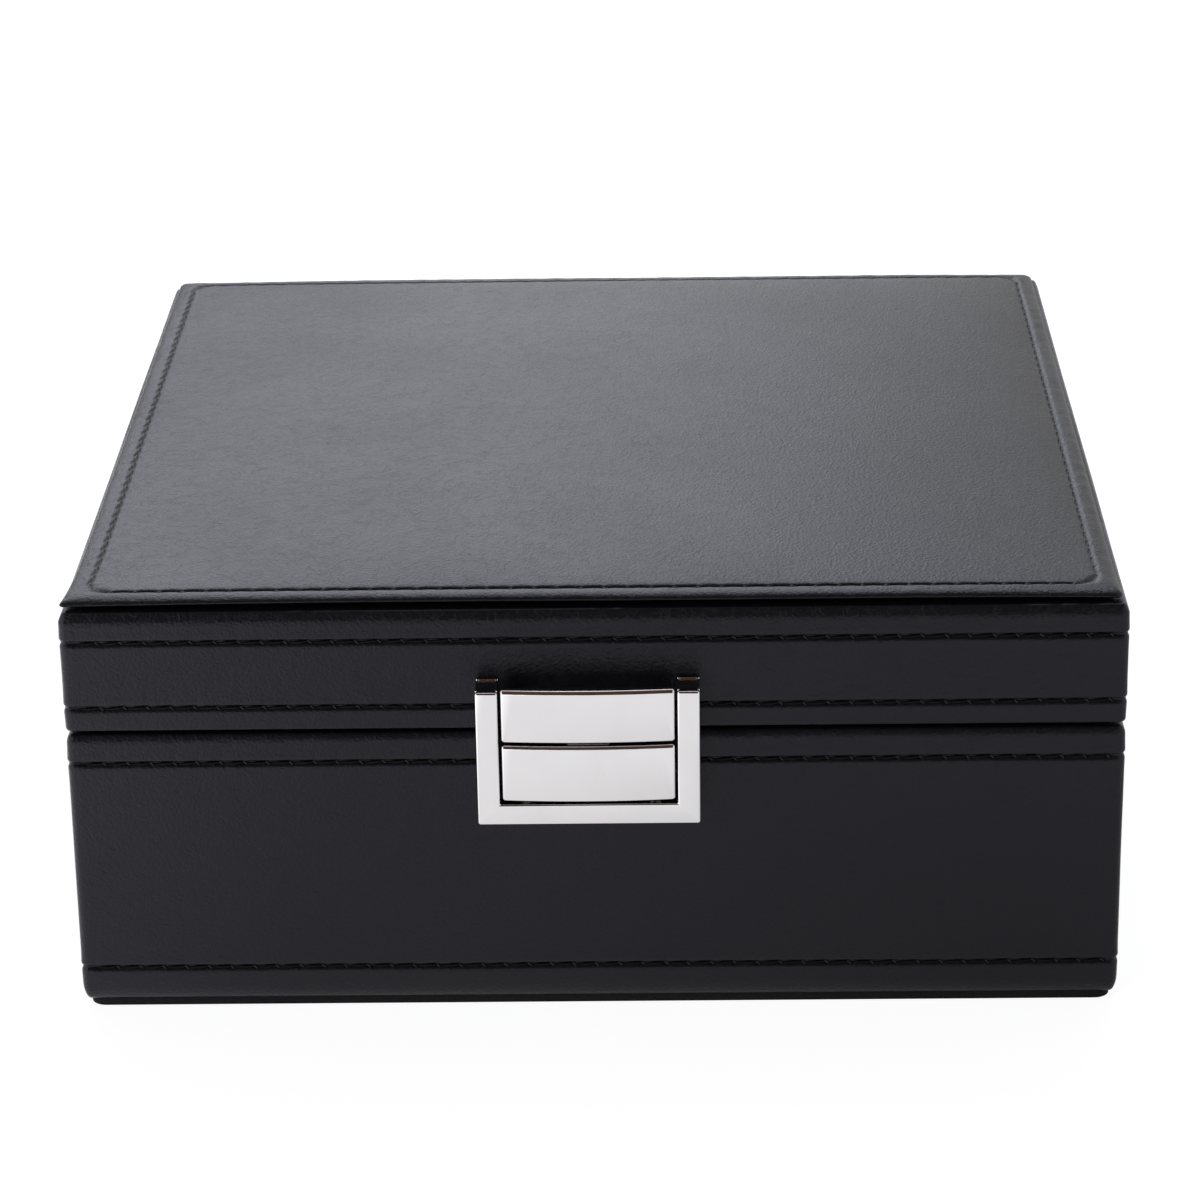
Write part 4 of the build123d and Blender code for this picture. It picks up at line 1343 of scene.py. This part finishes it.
KEPT_NODES = {
    FIBREBOARD: (
        "base_floor_board",
        "lid_top_board",
        *(f"base_{wall}_panel" for wall in WALLS),
        *(f"lid_{wall}_rail" for wall in WALLS),
    ),
    GREY_CARD: ("lid_pad_board", "mirror_backing"),
    BLACK_CARD: ("underside_cover",),
    NICKEL: (
        *(f"hinge_{body}_leaf_{side}" for body in ("base", "lid") for side in ("left", "right")),
        *(f"{place}_screws" for place in ("hinge_base", "hinge_lid", "clasp_frame", "strike", "catch")),
        "hinge_pins",
        "catch_plate",
    ),
    SPRING_STEEL: ("catch_spring",),
    SILVERED_GLASS: ("mirror_glass",),
}


def coat_kept(nodes: dict[str, bpy.types.Object]) -> None:
    """Gives the boards, fastenings, hinges and glass that keep their own shape their finish."""
    for finish, names in KEPT_NODES.items():
        for name in names:
            finish.coat(nodes[name])
            log.info("%s: kept, %s", name, finish.name)


# Studio


@dataclass
class Studio:
    """Camera at the photograph's angle, pale floor and soft light."""

    lens: float = 121.59
    azimuth: float = math.radians(1.110)
    elevation: float = math.radians(22.102)
    roll: float = math.radians(-0.952)
    distance: float = 860.98 * MM
    target: tuple[float, float, float] = (-0.48 * MM, 0.0, 43.84 * MM)
    ambient: float = 0.3
    lamp_colour: Colour = (0.84, 0.89, 1.0)
    card_colour: Colour = (0.20, 0.11, 0.075)
    aim: tuple[float, float, float] = (0.0, 0.0, 0.06)
    floor_side: float = 8.0
    floor_glow: float = 0.88
    # Painted light on the floor's left and painted shade near the box's right front, seen only in reflections.
    left_glow: float = 0.9
    left_edge: Span = (-0.17, -0.06)
    right_shade: float = 0.3
    right_edge: Span = (-0.03, 0.08)
    right_front: Span = (-0.25, -0.15)

    def build(self) -> None:
        """Sets up everything that isn't the box."""
        bpy.context.scene.view_settings.view_transform = "Standard"
        self.camera()
        self.world()
        self.floor()
        self.card("front_card", (0.0, -0.70, 0.82), (1.1, 2.25))
        self.card("back_right_card", (0.45, 1.12, 1.14), (0.95, 0.92))
        self.card("back_left_card", (-0.40, 1.15, 0.14), (0.55, 0.28))
        self.softbox("back_softbox", (-0.30, 1.15, 0.76), size=0.9, power=4.1)
        self.softbox("high_softbox", (0.10, 0.85, 1.25), size=0.7, power=5.0)
        self.softbox("left_softbox", (-1.1, -0.8, 0.55), size=0.7, power=3.0)

    def camera(self) -> None:
        """Places the camera."""
        turns = (self.azimuth, "Z"), (math.pi / 2 - self.elevation, "X"), (self.roll, "Z")
        azimuth, tilt, roll = (Matrix.Rotation(angle, 4, axis) for angle, axis in turns)
        back = Matrix.Translation((0, 0, self.distance))
        data = bpy.data.cameras.new("camera")
        data.lens, data.sensor_width = self.lens, 36.0
        data.clip_start, data.clip_end = 0.01, 20.0
        camera = bpy.data.objects.new("camera", data)
        camera.matrix_world = Matrix.Translation(self.target) @ azimuth @ tilt @ roll @ back
        bpy.context.scene.collection.objects.link(camera)
        bpy.context.scene.camera = camera

    def world(self) -> None:
        """Makes a white world that lights the box at a plain level."""
        recipe = Recipe(bpy.data.worlds.new("white_room"))
        level = recipe.span(recipe.seen(), (0.0, 1.0), (self.ambient, 1.0))
        recipe.feed(recipe.nodes["Background"], {"Color": WHITE, "Strength": level})
        bpy.context.scene.world = recipe.made

    def floor(self) -> None:
        """Makes a white floor that keeps a soft shadow. In the box's reflections its glow has a painted light on the
        left and a painted shade near the box's right front.
        """
        bpy.ops.mesh.primitive_plane_add(size=self.floor_side)
        floor = Piece.settled("floor").obj
        recipe = Recipe(bpy.data.materials.new("white_floor"))
        spot = recipe.add("ShaderNodeSeparateXYZ", {"Vector": recipe.place}).outputs
        glossy = recipe.add("ShaderNodeLightPath").outputs["Is Glossy Ray"]
        # Masks for the painted light on the left and the painted shade near the box's right front, for glossy rays
        # only.
        left = recipe.calculate("MULTIPLY", recipe.span(spot["X"], self.left_edge, (1, 0)), glossy)
        near = recipe.calculate("MULTIPLY", recipe.span(spot["Y"], self.right_front, (0, 1)), glossy)
        right = recipe.calculate("MULTIPLY", recipe.span(spot["X"], self.right_edge, (0, 1)), near)
        glow = recipe.sum((recipe.seen(), self.floor_glow), (left, self.left_glow), (right, -self.right_shade))
        made = recipe.surface(
            base_color=(0.4, 0.4, 0.4, 1.0),
            roughness=1.0,
            specular_ior_level=0.0,
            emission_color=WHITE,
            emission_strength=glow,
        )
        floor.data.materials.append(made)

    def facing(self, place: Sequence[float]) -> Euler:
        """Gives the turn that makes a thing at a place face the box."""
        return (Vector(self.aim) - Vector(place)).to_track_quat("-Z", "Y").to_euler()

    def card(self, name: str, place: Sequence[float], size: Span) -> None:
        """Hangs a dark card that only leather, chrome and mirror see, for the dark room round a lit table."""
        bpy.ops.mesh.primitive_plane_add(size=1.0, location=place, rotation=self.facing(place))
        bpy.context.active_object.scale = (*size, 1.0)
        card = Piece.settled(name).obj
        recipe = Recipe(bpy.data.materials.new(f"{name}_board"))
        card.data.materials.append(recipe.surface(base_color=(*self.card_colour, 1.0), roughness=1.0))
        card.visible_camera = card.visible_diffuse = card.visible_shadow = False

    def softbox(self, name: str, place: Sequence[float], size: float, power: float) -> None:
        """Hangs a square soft light that faces the box."""
        data = bpy.data.lights.new(name, "AREA")
        data.size, data.energy, data.color = size, power, self.lamp_colour
        lamp = bpy.data.objects.new(name, data)
        lamp.location, lamp.rotation_euler = place, self.facing(place)
        lamp.visible_camera = False
        bpy.context.scene.collection.objects.link(lamp)


def main() -> None:
    """Builds the dressed box in its studio."""
    logging.basicConfig(level=logging.INFO, format="%(message)s")
    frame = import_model()
    Studio().build()
    LeatherBand(
        name="base_leather",
        node="base_leather_wrap",
        body=Body.BASE,
        lower_edge=BASE_FOOT,
        upper_edge=BASE_RIM,
        stitch_levels=(8.7 * MM, 51.8 * MM),
        pocket=((-14.1 * MM, 11.9 * MM), (42.7 * MM, 55.4 * MM)),
    ).build()
    LeatherBand(
        name="lid_leather",
        node="lid_leather_wrap",
        body=Body.LID,
        lower_edge=LID_RIM,
        upper_edge=LID_SHOULDER,
        stitch_levels=(63.2 * MM, 76.5 * MM),
        hollow=0.7 * MM,
    ).build()
    PaddedTop().build()
    Clasp().build()
    VelvetInside().build()
    Tray().build()
    coat_kept(frame["nodes"])


if __name__ == "__main__":
    main()
